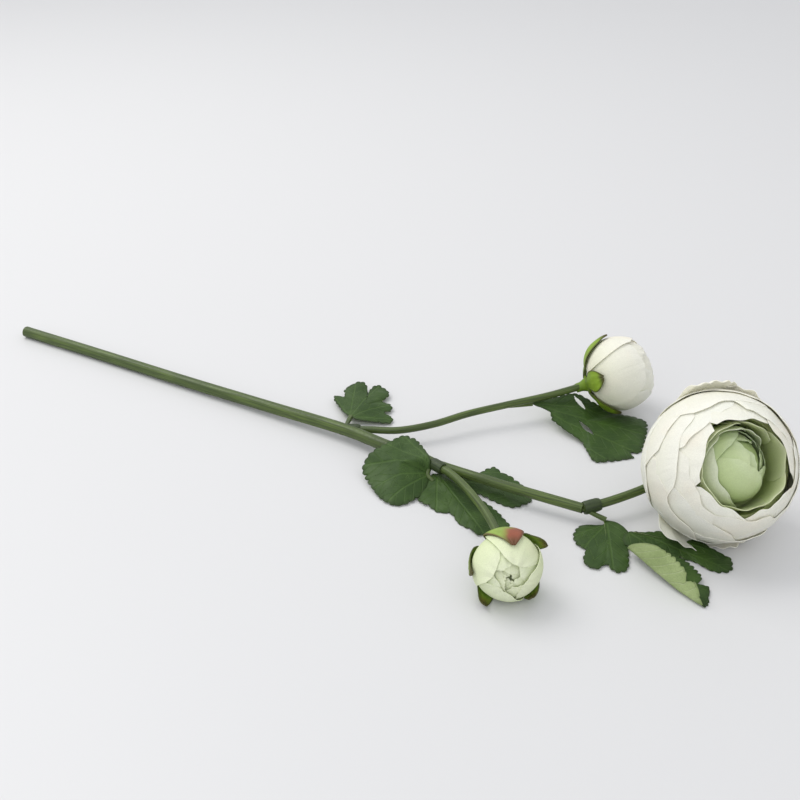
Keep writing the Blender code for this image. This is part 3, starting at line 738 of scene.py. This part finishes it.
def bloom_heart(looks):
    """Yellow-green lining petals and the closed heart of the bloom."""
    chance = random.Random(SEED + 1)
    form = Form("bloom_heart", looks)
    head = head_frame(BLOOM_CENTRE, BLOOM_AXIS)
    form.turned(head, CUP_PROFILE, 40, chance, 1)
    for index in range(LINING_PETALS):
        wall = LINING_RADIUS - LINING_STEP * (index % 3)
        high = chance.uniform(25.3, 27.3)
        azimuth = 360.0 / LINING_PETALS * index + 12.0
        surface = wall_surface(head, chance, wall, LINING_FLOOR, high, azimuth, LINING_HALF_ANGLE, 4.0, 0.5,
                               chance.uniform(0.3, 1.0))
        form.sheet(surface, *LINING_GRID, PETAL, chance, (1, 1), size=(28.0, 26.0))
    for azimuth, high, wall in PALE_PETALS:
        surface = wall_surface(head, chance, wall, LINING_FLOOR, high, azimuth, PALE_HALF_ANGLE, 7.0, 0.5,
                               2.2)
        form.sheet(surface, *LINING_GRID, PETAL, chance, (2, 2), size=(28.0, 26.0))
    middle = head @ Matrix.Translation(HEART_PLACE)
    form.turned(middle, ball_profile(HEART_CORE, range(0, 181, 10), 0.5), 32, chance)
    own = tilted(middle, HEART_LEAN, HEART_TOWARDS)
    for rim, radius, turn in HEART_RINGS:
        for index in range(HEART_RING_PETALS):
            rise = cup_meridian(HEART_CORE, radius)
            azimuth = turn + 360.0 * index / HEART_RING_PETALS + chance.uniform(-6.0, 6.0)
            surface = petal_surface(own, chance, rise, rim + chance.uniform(-3.0, 3.0), rim + HEART_SPAN,
                                    azimuth, HEART_HALF_ANGLE, crown=11.0, lap=0.5, curl=0.3, wave=0.7,
                                    ripple=0.12)
            form.sheet(surface, *HEART_GRID, PETAL, chance, size=(36.0, 26.0))

    def flap_rise(v):
        return FLAP_ROOT_RADIUS + (FLAP_RIM_RADIUS - FLAP_ROOT_RADIUS) * smooth(v)

    flap = petal_surface(head, chance, flap_rise, 27.0, 76.0, FLAP_AZIMUTH, FLAP_HALF_ANGLE, crown=7.0,
                         lap=0.0, curl=0.2, wave=1.4, ripple=0.2)
    form.sheet(flap, *FLAP_GRID, PETAL, chance, (2, 2), size=(50.0, 26.0))
    return form.make("green_petal", "bloom_heart_petals")


def closed_bud(name, centre, axis, radius, core, rings, slot, node, looks, seed):
    """Closed bud: petals wrapped round a core, ring by ring, the last ones over the tip."""
    chance = random.Random(seed)
    form = Form(name, looks)
    head = head_frame(centre, axis)
    pit = [(core * 0.2, core * 0.78), (0.4, core * 0.66)]
    form.turned(head, ball_profile(core - 0.3, range(0, 161, 10), 0.4) + pit, 32, chance)
    for count, rim, shell, turn, lean, base in rings:
        for index in range(count):
            azimuth = turn + 360.0 * index / count + chance.uniform(-5.0, 5.0)
            own = tilted(head, lean, azimuth + 180.0)
            rise = cup_meridian(core, shell + chance.uniform(-0.1, 0.1))
            surface = petal_surface(own, chance, rise, rim + chance.uniform(-2.0, 2.0), base, azimuth,
                                    250.0 / count, crown=chance.uniform(9.0, 14.0), lap=0.6,
                                    curl=chance.uniform(0.1, 0.5), wave=chance.uniform(0.6, 1.6),
                                    ripple=chance.uniform(0.1, 0.25))
            form.sheet(surface, *BUD_GRID, PETAL, chance, size=(2.6 * radius * 3.14 / count, 1.6 * radius))
    return form.make(slot, node)


def sepal_rise(tip, base, core, shell):
    """Radius along a sepal, which keeps a gap to the petals under it."""
    rise = cup_meridian(core, shell)

    def meridian(v):
        polar = SEPAL_ROOT + (tip - SEPAL_ROOT) * v
        along = max(0.0, (base - polar) / (base - 80.0))
        return max(rise(along), core) + SEPAL_GAP
    return meridian


def calyx(name, centre, axis, core, shell, base, sepals, neck, slot, node, looks, seed):
    """Cup at the back of a head, with pointed sepals laid over the petals."""
    chance = random.Random(seed)
    form = Form(name, looks)
    head = head_frame(centre, axis)
    seat = core + CALYX_WALL
    edge = math.radians(CALYX_EDGE)
    profile = [(neck - 0.25, -seat - 6.0), (neck, -seat - 5.4), (neck + 0.1, -seat - 3.0),
               (neck + 0.5, -seat - 1.7), (seat * math.sin(edge) * 0.6, seat * math.cos(edge) - 1.3),
               (seat * math.sin(edge) * 0.95, seat * math.cos(edge) - 0.3),
               (seat * math.sin(edge) * 0.9, seat * math.cos(edge) + 0.4), (0.4, -seat + 0.6)]
    form.turned(head, profile, 32, chance, 1)
    for index, shape in enumerate(sepals):
        rise = sepal_rise(shape.tip, base, core, shell)
        surface = petal_surface(head, chance, rise, shape.tip, SEPAL_ROOT, shape.azimuth, shape.half_angle,
                                crown=0.0, lap=0.1, curl=shape.curl, wave=0.6, ripple=0.2, pointed=True,
                                twist=shape.twist)
        slots = (0, 0) if len(looks) < 3 or index else (2, 2)
        form.sheet(surface, *SEPAL_GRID, SEPAL, chance, slots, size=(12.0, 22.0))
    return form.make(slot, node)


def in_slit(point, slit):
    """Whether a point, seen from above, is in the lens-shaped slit (x, y, x, y, half width)."""
    start = Vector((slit[0], slit[1]))
    along = Vector((slit[2], slit[3])) - start
    away = Vector((point.x, point.y)) - start
    share = away.dot(along) / along.length_squared
    if not 0.0 < share < 1.0:
        return False
    return (away - along * share).length < slit[4] * math.sin(math.pi * share) ** 0.7


def rest_on(point, drape):
    """The point, brought clear of the table and laid over or under the stems near it."""
    made = point.copy()
    for curve, radius in STEM_LINES if drape else ():
        nearest = min(curve, key=lambda c: (c.x - point.x) ** 2 + (c.y - point.y) ** 2)
        gap = math.hypot(nearest.x - point.x, nearest.y - point.y)
        reach = radius + STEM_GAP
        if gap < reach:
            lift = math.sqrt(reach * reach - gap * gap)
            if drape > 0:
                made.z = max(made.z, nearest.z + lift)
            else:
                made.z = min(made.z, nearest.z - lift)
    made.z = max(made.z, TABLE_CLEARANCE)
    return made


def scallop(t, pitch, depth):
    """1 on the crest of a rounded tooth, and 1 - depth in the cut between two."""
    return 1.0 - depth * (1.0 - abs(math.sin(math.pi * t / pitch)) ** 0.55)


def leaflet_surface(shape, chance):
    """Surface of one lobed and toothed leaflet, draped from its root down to the table."""
    steps = 80
    spine = [vec(shape.root)]
    aheads = []
    for i in range(steps + 1):
        angle = math.radians(shape.heading + shape.turn * i / steps)
        aheads.append(Vector((math.cos(angle), math.sin(angle), 0.0)))
        spine.append(spine[-1] + aheads[-1] * shape.length / steps)
    shift = [chance.uniform(0.0, 40.0) for _ in range(2)]
    pitch = FOLD_TOOTH_PITCH / shape.length
    notch_place, notch_depth = FOLD_NOTCH

    def width_at(t):
        width = math.sin(math.pi * (0.05 + 0.87 * t ** 0.75)) ** 0.7
        return width * (1.0 - notch_depth * math.exp(-((t - notch_place) / FOLD_NOTCH_WIDTH) ** 2))

    def surface(lane, v):
        u = -lane
        reach_share = abs(u)
        tip = 1.0 - 0.16 * reach_share ** 2.0
        tip *= 1.0 - 0.05 * (1.0 - scallop(u + 1.0, 0.33, 1.0)) * smooth((v - 0.8) / 0.2)
        t = v * tip
        at = min(steps - 1.0, t * steps)
        low = int(at)
        place = spine[low].lerp(spine[low + 1], at - low)
        ahead = aheads[low].lerp(aheads[low + 1], at - low).normalized()
        side = Vector((-ahead.y, ahead.x, 0.0))
        teeth = scallop(t, pitch, 0.10 * smooth((t - 0.2) / 0.25))
        toothed = 1.0 - (1.0 - teeth) * smooth((reach_share - 0.3) / 0.6)
        reach = shape.half_width * width_at(t) * toothed * u
        out, up = cross_section(reach, shape.fold)
        forward = ahead * abs(reach) * FOLD_SWEEP * (1.0 - 0.8 * t * t)
        height = shape.root[2] * (1.0 - smooth(t)) + LEAF_TIP_HEIGHT * smooth(t)
        height += shape.arch * math.sin(math.pi * t)
        point = place + side * out + forward
        swell = noise.noise(Vector((point.x * 0.07 + shift[0], point.y * 0.07, shift[1])))
        ruffle = noise.noise(Vector((point.x * 0.22 + shift[1], point.y * 0.22, shift[0])))
        height += up + (1.4 * swell + 0.5 * ruffle) * smooth(t * 4.0) * (0.4 + 0.6 * reach_share)
        point.z = max(height, TABLE_CLEARANCE)
        return point
    return surface


def cross_section(reach, fold):
    """Sideways and upward place of a point of a leaflet, at the given distance from its rib.

    fold bends the side with a negative reach up and over.
    """
    if reach < 0.0 and fold:
        out = 0.0
        up = 0.0
        for step in range(FOLD_STEPS):
            walked = (step + 0.5) / FOLD_STEPS * -reach
            bend = math.radians(fold) * smooth(walked / 4.0)
            out -= math.cos(bend) * -reach / FOLD_STEPS
            up += math.sin(bend) * -reach / FOLD_STEPS
        return out, up
    return reach, 0.06 * abs(reach)


def leaf(name, petiole, blades, node, looks, seed, folded=None, rows=BLADE_ROWS):
    """Blades round the end of a grooved petiole; drape is given with each blade."""
    chance = random.Random(seed)
    form = Form(name, looks)
    route = spline(petiole, 8)
    radii = [PETIOLE_RADIUS * (1.0 + 0.35 * i / len(route)) for i in range(len(route))]
    form.rod(route, radii, 16, chance, 2, ribs=0.3)
    for shape, drape in blades:
        form.blade(shape, chance, rows=rows, drape=drape)
    if folded:
        surface = leaflet_surface(folded, chance)
        form.sheet(surface, *FOLD_GRID, LEAF, chance, (0, 1), size=(2.0 * folded.half_width, folded.length))
    return form.make("leaf", node)


def main_route():
    """Points along the main stem, from its cut end to the last fork."""
    return [CUT_END, (-180.0, -13.6, 3.4), (-110.0, -14.2, 3.8), (-50.0, -14.6, 4.8), FORK_BACK,
            (32.0, -19.6, 7.0), FORK_FRONT, (103.0, -23.4, 8.4), FORK_BLOOM]


def neck(centre, axis, core, depth):
    """Point on a head's axis, the given depth behind the seat of its calyx."""
    return vec(centre) - vec(axis).normalized() * (core + 0.4 + depth)


def side_stems():
    """Name, points and radius of each stem that plugs into a fork."""
    bloom = [FORK_BLOOM, (155.5, -9.4, 9.6), (166.2, 7.2, 10.8), (168.6, 16.0, 11.2), (170.6, 24.5, 12.0),
             (174.5, 30.5, 13.4), neck(BLOOM_CENTRE, BLOOM_AXIS, BLOOM_CORE, 6.0),
             neck(BLOOM_CENTRE, BLOOM_AXIS, BLOOM_CORE, 2.0)]
    front = [FORK_FRONT, (76.0, -29.0, 9.2), (91.9, -39.8, 10.4), (108.4, -53.6, 11.4),
             (120.2, -65.6, 11.6), neck(FRONT_CENTRE, FRONT_AXIS, FRONT_CORE, 2.0)]
    back = [FORK_BACK, (14.5, -10.5, 7.2), (30.0, -3.6, 8.0), (44.0, 9.8, 9.2), (55.6, 27.0, 10.4),
            (70.0, 43.6, 11.8), (87.0, 62.0, 13.6), neck(BACK_CENTRE, BACK_AXIS, BACK_CORE, 2.0)]
    return [("bloom_stem", bloom, BLOOM_STEM_RADIUS), ("front_bud_stem", front, FRONT_STEM_RADIUS),
            ("back_bud_stem", back, BACK_STEM_RADIUS)]


def stems(looks):
    """The main stem with a sleeve at each fork, and the three stems plugged into them."""
    chance = random.Random(SEED + 5)
    form = Form("stem_main", looks)
    curve = spline(main_route(), 14)
    radii = []
    for point in curve:
        share = smooth((point.x - FORK_FRONT[0]) / TAPER_LENGTH + 0.5)
        radii.append(MAIN_RADIUS + (UPPER_RADIUS - MAIN_RADIUS) * share)
    form.rod(curve, radii, 32, chance, 0, ribs=0.08)
    for _, route, radius in side_stems():
        start = spline(route, 3)
        ahead = (start[2] - start[0]).normalized()
        length = SLEEVE_LENGTH - SLEEVE_SETBACK
        sleeve = [start[0] + ahead * (SLEEVE_SETBACK + length * step / SLEEVE_STEPS)
                  for step in range(SLEEVE_STEPS + 1)]
        wide = radius + SLEEVE_PLAY + SLEEVE_WALL
        rounded = [wide - 0.25] + [wide] * (SLEEVE_STEPS - 2) + [wide - 0.1, wide - 0.45]
        form.rod(sleeve, rounded, 28, chance, 1, ribs=0.06)
    form.make("stem", "main_stem")
    for name, route, radius in side_stems():
        form = Form(name + "_rod", looks)
        curve = spline(route, 12)
        form.rod(curve, [radius] * len(curve), 26, chance, 0, ribs=0.08, twist=0.01)
        form.make("stem", name)


# Lines of the stems, which the leaves are laid over or under
STEM_LINES = [(spline(main_route(), 14), MAIN_RADIUS)]
STEM_LINES += [(spline(route, 10), radius) for _, route, radius in side_stems()]


def add_leaves(looks):
    """The four leaves: outlines go round each blade, and a heading is in degrees from +X."""
    fan = Blade((-3, 15, 4.4),
                [(-4, 1, 3.8), (-10, 3, 3.5), (-17, 8, 3), (-23.5, 13.1, 3),
                 (-25.8, 17.8, 3), (-20.5, 19.4, 3), (-23.9, 24.4, 4), (-23.6, 31.5, 4.2),
                 (-20.6, 36.7, 4.5), (-14.9, 35.4, 4), (-8.5, 24.6, 3.2), (-12, 34.5, 3.6),
                 (-9.7, 40.3, 3.6), (-2.1, 38, 3), (0.8, 34, 2.4), (1, 26.9, 2.2),
                 (6.8, 26.4, 2), (10.2, 21.8, 2), (8.6, 16.2, 2), (14.9, 14.9, 1.2),
                 (16.3, 9.4, 1), (9, 5, 2), (1, 1, 3.4)],
                (-4.5, 0, 3.6), (142, 117, 97, 66, 34), 0.6, ())
    leaf("leaf_1", [FORK_BACK, (-1, -8, 5), (-4.5, 1, 3.8)], [(fan, 0)], "leaf_back_fork",
         looks, SEED + 11)
    left = Blade((48, -34, 10),
                 [(62.2, -27, 5), (64.4, -33, 3), (66.1, -44.2, 1.5), (61.9, -55, 1),
                  (53.1, -57.1, 1), (39.9, -50.1, 1.5), (30, -42, 4), (29.3, -34.7, 9),
                  (32.6, -28, 12), (35.4, -20.4, 12.5), (38.4, -14, 12.5), (42.1, -13, 12.5),
                  (47.7, -14.3, 12.5), (55.1, -19.8, 12.3), (60.8, -24.6, 11.8)],
                 (63, -27, 6), (152, 176, 201, 230, 254), 0.5, ())
    centre = Blade((86, -39, 2),
                   [(63.7, -26.5, 4), (62.7, -33.1, 2.5), (63.7, -44, 1.2), (68.6, -48.6, 0.8),
                    (73.4, -48.9, 0.8), (79.7, -50.9, 0.6), (83.5, -49.6, 0.6), (87.3, -49.3, 0.6),
                    (93.1, -53.8, 0.6), (100.8, -55.9, 0.6), (107.3, -57.8, 0.6), (113.8, -49.3, 0.6),
                    (116.2, -43.1, 0.6), (110.8, -38.5, 0.6), (101.9, -33, 0.6), (94.4, -31, 0.8),
                    (87.4, -29.5, 1.2), (76.2, -25, 2), (68.8, -22.6, 3)],
                   (66, -26, 3), (-35, -62, -12), 1, ())
    right = Blade((96, -18, 3),
                  [(69.3, -23.7, 3), (75.5, -18.9, 3), (83.4, -14.9, 4), (86, -8.8, 4.5),
                   (88.8, -5, 4.5), (93.8, -6.8, 3.5), (99.6, -6.9, 3), (105, -8.4, 2),
                   (110.5, -11.7, 1.5), (115.1, -15.5, 1), (116.3, -19.2, 0.6), (114.4, -24.4, 0.6),
                   (111.7, -28, 0.6), (106.6, -29, 0.6), (100.7, -28.4, 0.6), (90.1, -27, 0.8),
                   (80.6, -24.8, 1.5)],
                  (66, -25, 3), (12, 32, -6), 0.4, ())
    leaf("leaf_2", [FORK_FRONT, (62, -29, 4.6), (66.5, -31, 2.8)],
         [(left, 1), (centre, -1), (right, -1)], "leaf_front_fork", looks, SEED + 12)
    broad = Blade((112, 62, 4.5),
                  [(79.9, 56, 9.8), (91.9, 55.5, 8), (95.2, 51.3, 6), (104, 48.5, 4.5),
                   (110.7, 46.5, 3), (116.3, 44.5, 2), (123, 38, 1), (129.3, 31.6, 0.5),
                   (136.7, 36, 0.5), (141, 40.5, 0.5), (146.2, 46.2, 0.5), (143, 49, 0.5),
                   (147.2, 52.5, 0.5), (146.8, 59.5, 1), (143, 75.3, 2), (139, 83, 1.6),
                   (130, 86, 0.8), (118, 84, 0.6), (108, 83.5, 5), (98, 80, 9.5),
                   (90, 70, 10), (82, 59.5, 10)],
                  (80, 56, 9.8), (-20, -4, 12, 30), 0.5,
                  ((97.6, 77.2, 107.2, 70.8, 1.7), (108.2, 59.7, 120.2, 52.4, 1.5)))
    leaf("leaf_3", [(69, 42.6, 11), (75, 49.6, 10.2), (81, 56.4, 9.6)], [(broad, -1)],
         "leaf_back_bud", looks, SEED + 13, rows=SLIT_ROWS)
    lobes = Blade((163, -34, 2.5),
                  [(155.2, -18.8, 4), (156.3, -21.3, 3), (153.2, -22.5, 2), (149.9, -23.3, 1.5),
                   (146.7, -24.3, 1), (144.9, -27.4, 0.8), (145.9, -35.1, 0.6), (150.6, -41, 0.6),
                   (155.4, -42.4, 0.6), (156.8, -47.9, 0.6), (158.3, -51.5, 0.6), (161.6, -53.9, 0.6),
                   (166.5, -53.2, 0.6), (168.4, -48.5, 0.6), (171.9, -50.5, 0.6), (175.4, -51, 0.6),
                   (178.6, -46.2, 0.6), (175.6, -37.1, 0.8), (172.5, -30, 1.5), (171, -23.2, 2.5),
                   (162, -18.2, 4)],
                  (157, -20, 4), (-125, -96, -62), 0.5, ())
    long = Blade((190, -17.5, 3.2),
                 [(168, -27, 3), (169, -22.8, 3.6), (174, -21.6, 4.5), (180.5, -16.9, 5),
                  (183.7, -13.2, 4.6), (183.5, -7, 4.2), (189, -5.3, 2), (197.5, -7.5, 1.2),
                  (205.2, -11.4, 2), (211.7, -13.2, 2), (217.2, -13.8, 1), (219.3, -17.1, 0.6),
                  (220.5, -22.5, 0.6), (216.8, -26.6, 0.6), (210.5, -27.3, 0.6), (203.6, -25.1, 0.8),
                  (198.7, -25.6, 1), (192.7, -26.3, 1.5), (184.1, -25.8, 2), (178, -29.4, 2),
                  (171, -31, 2)],
                 (157, -20, 4), (-14, -3, 8), 0.4, ())
    folded = Leaflet((174, -34, 4.2), -30, 49, 15, 14, 0, 104)
    leaf("leaf_4", [FORK_BLOOM, (150, -20.6, 6.4), (156.5, -19.6, 4.4)], [(lobes, 0), (long, 0)],
         "leaf_last_fork", looks, SEED + 14, folded)


def add_camera():
    data = bpy.data.cameras.new("camera")
    data.lens = CAMERA_LENS
    data.sensor_width = SENSOR_WIDTH
    data.clip_start = NEAR_CLIP
    data.clip_end = FAR_CLIP
    camera = bpy.data.objects.new("camera", data)
    bpy.context.scene.collection.objects.link(camera)
    camera.location = CAMERA_PLACE
    camera.rotation_euler = (math.radians(90.0 - CAMERA_ELEVATION), 0.0, math.radians(CAMERA_AZIMUTH))
    bpy.context.scene.camera = camera


def add_light(shape):
    data = bpy.data.lights.new(shape.name, "AREA")
    data.size = shape.size
    data.energy = shape.energy
    data.color = shape.colour
    light = bpy.data.objects.new(shape.name, data)
    light.location = shape.place
    light.rotation_euler = (vec(LIGHT_TARGET) - vec(shape.place)).to_track_quat("-Z", "Y").to_euler()
    bpy.context.scene.collection.objects.link(light)


def add_stage():
    """Plain pale floor, even sky and two soft lights."""
    mesh = bpy.data.meshes.new("floor")
    corners = [(x * FLOOR_HALF, y * FLOOR_HALF, 0.0) for x, y in ((-1, -1), (1, -1), (1, 1), (-1, 1))]
    mesh.from_pydata(corners, [], [(0, 1, 2, 3)])
    floor = bpy.data.objects.new("floor", mesh)
    bpy.context.scene.collection.objects.link(floor)
    paint = bpy.data.materials.new("floor_white")
    paint.use_nodes = True
    shader = paint.node_tree.nodes["Principled BSDF"]
    shader.inputs["Base Color"].default_value = linear(FLOOR_COLOUR)
    shader.inputs["Roughness"].default_value = FLOOR_ROUGHNESS
    shader.inputs["Specular IOR Level"].default_value = FLOOR_SPECULAR
    mesh.materials.append(paint)
    world = bpy.data.worlds.new("studio")
    world.use_nodes = True
    background = world.node_tree.nodes["Background"]
    background.inputs["Color"].default_value = SKY_COLOUR
    background.inputs["Strength"].default_value = SKY_STRENGTH
    bpy.context.scene.world = world
    for shape in LIGHTS:
        add_light(shape)
    bpy.context.scene.view_settings.view_transform = "Standard"


def build():
    """All looks and pieces of the spray."""
    white = petal_look("white_petal_cloth", rim="#FEFEF6", body="#FCFCF0", root="#F4F5E0",
                       blush="#FCF6E8")
    lining = petal_look("lining_petal_cloth", rim="#F0F5D4", body="#E0EAB4", root="#CCDC90",
                        blush="#E4EAC0", share=0.35)
    heart = petal_look("heart_petal_cloth", rim="#DFECC6", body="#CBDCA6", root="#B4CB82",
                       blush="#D4E0AC", share=0.2)
    heart_pale = petal_look("heart_pale_cloth", rim="#F2F6E2", body="#E8F0CE", root="#D0DFA8",
                            blush="#ECF2D8", share=0.3)
    pale = petal_look("pale_bud_cloth", rim="#F0F6D8", body="#E8F1CA", root="#CFDFA4",
                      blush="#EDF0CC", share=0.2)
    sepal = sepal_look("sepal_cloth", "#7C9A35", "#66812B", "#74502F", "#3E421A", 0.74)
    blushed = sepal_look("sepal_blushed_cloth", "#8CA548", "#768E3C", "#8C4E38", "#5E4226", 0.55, 0.06)
    olive = sepal_look("sepal_olive_cloth", "#7F9C28", "#64801E", "#8B5B4A", "#3E3620", 0.85)
    leaf_top = leaf_look("leaf_upper_cloth", "#3F5A20", "#2C4418", "#4E6A2C", "#22330F", 0.35, 0.55)
    leaf_under = leaf_look("leaf_under_cloth", "#9DAC78", "#8C9C68", "#B0BC90", "#6F7F4C", 0.6, 0.7)
    stem = stem_look("stem_plastic", "#566830", "#3B4A22", 0.42)
    sleeve = stem_look("sleeve_plastic", "#3F4E29", "#28341C", 0.5)
    stems([stem, sleeve])
    bloom_outer([white, lining])
    bloom_heart([heart, lining, heart_pale])
    closed_bud("front_bud", FRONT_CENTRE, FRONT_AXIS, FRONT_RADIUS, FRONT_CORE,
               FRONT_RINGS,
               "pale_green_petal", "front_bud_petals", [pale], SEED + 2)
    closed_bud("back_bud", BACK_CENTRE, BACK_AXIS, BACK_RADIUS, BACK_CORE,
               BACK_RINGS,
               "white_petal", "back_bud_petals", [white], SEED + 3)
    calyx("bloom_sepals", BLOOM_CENTRE, BLOOM_AXIS, BLOOM_CORE, BLOOM_RADIUS, 156.0,
          [Sepal(40.0 + 72.0 * index, tip, 26.0, 0.0, 0.8)
           for index, tip in enumerate((140.0, 136.0, 141.0, 138.0, 139.0))],
          3.2, "sepal", "bloom_calyx", [sepal, sepal], SEED + 21)
    calyx("front_sepals", FRONT_CENTRE, FRONT_AXIS, FRONT_CORE, FRONT_RADIUS, BUD_BASE,
          [Sepal(112.0, 54.0, 34.0, -28.0, 0.3), Sepal(174.0, 64.0, 22.0, 8.0, 0.6),
           Sepal(236.0, 66.0, 20.0, 0.0, 3.2), Sepal(312.0, 62.0, 22.0, 0.0, 1.0),
           Sepal(46.0, 84.0, 20.0, -14.0, 3.4)],
          2.9, "sepal", "front_bud_sepals", [sepal, sepal, blushed], SEED + 22)
    calyx("back_sepals", BACK_CENTRE, BACK_AXIS, BACK_CORE, BACK_RADIUS, BUD_BASE,
          [Sepal(147.0, 112.0, 27.0, 0.0, 0.3), Sepal(219.0, 104.0, 24.0, 0.0, 0.6),
           Sepal(291.0, 100.0, 22.0, 0.0, 0.8), Sepal(3.0, 100.0, 22.0, 0.0, 0.8),
           Sepal(72.0, 86.0, 22.0, 0.0, 0.8)],
          2.6, "sepal", "back_bud_sepals", [olive, olive], SEED + 23)
    add_leaves([leaf_top, leaf_under, stem])


add_camera()
build()
add_stage()
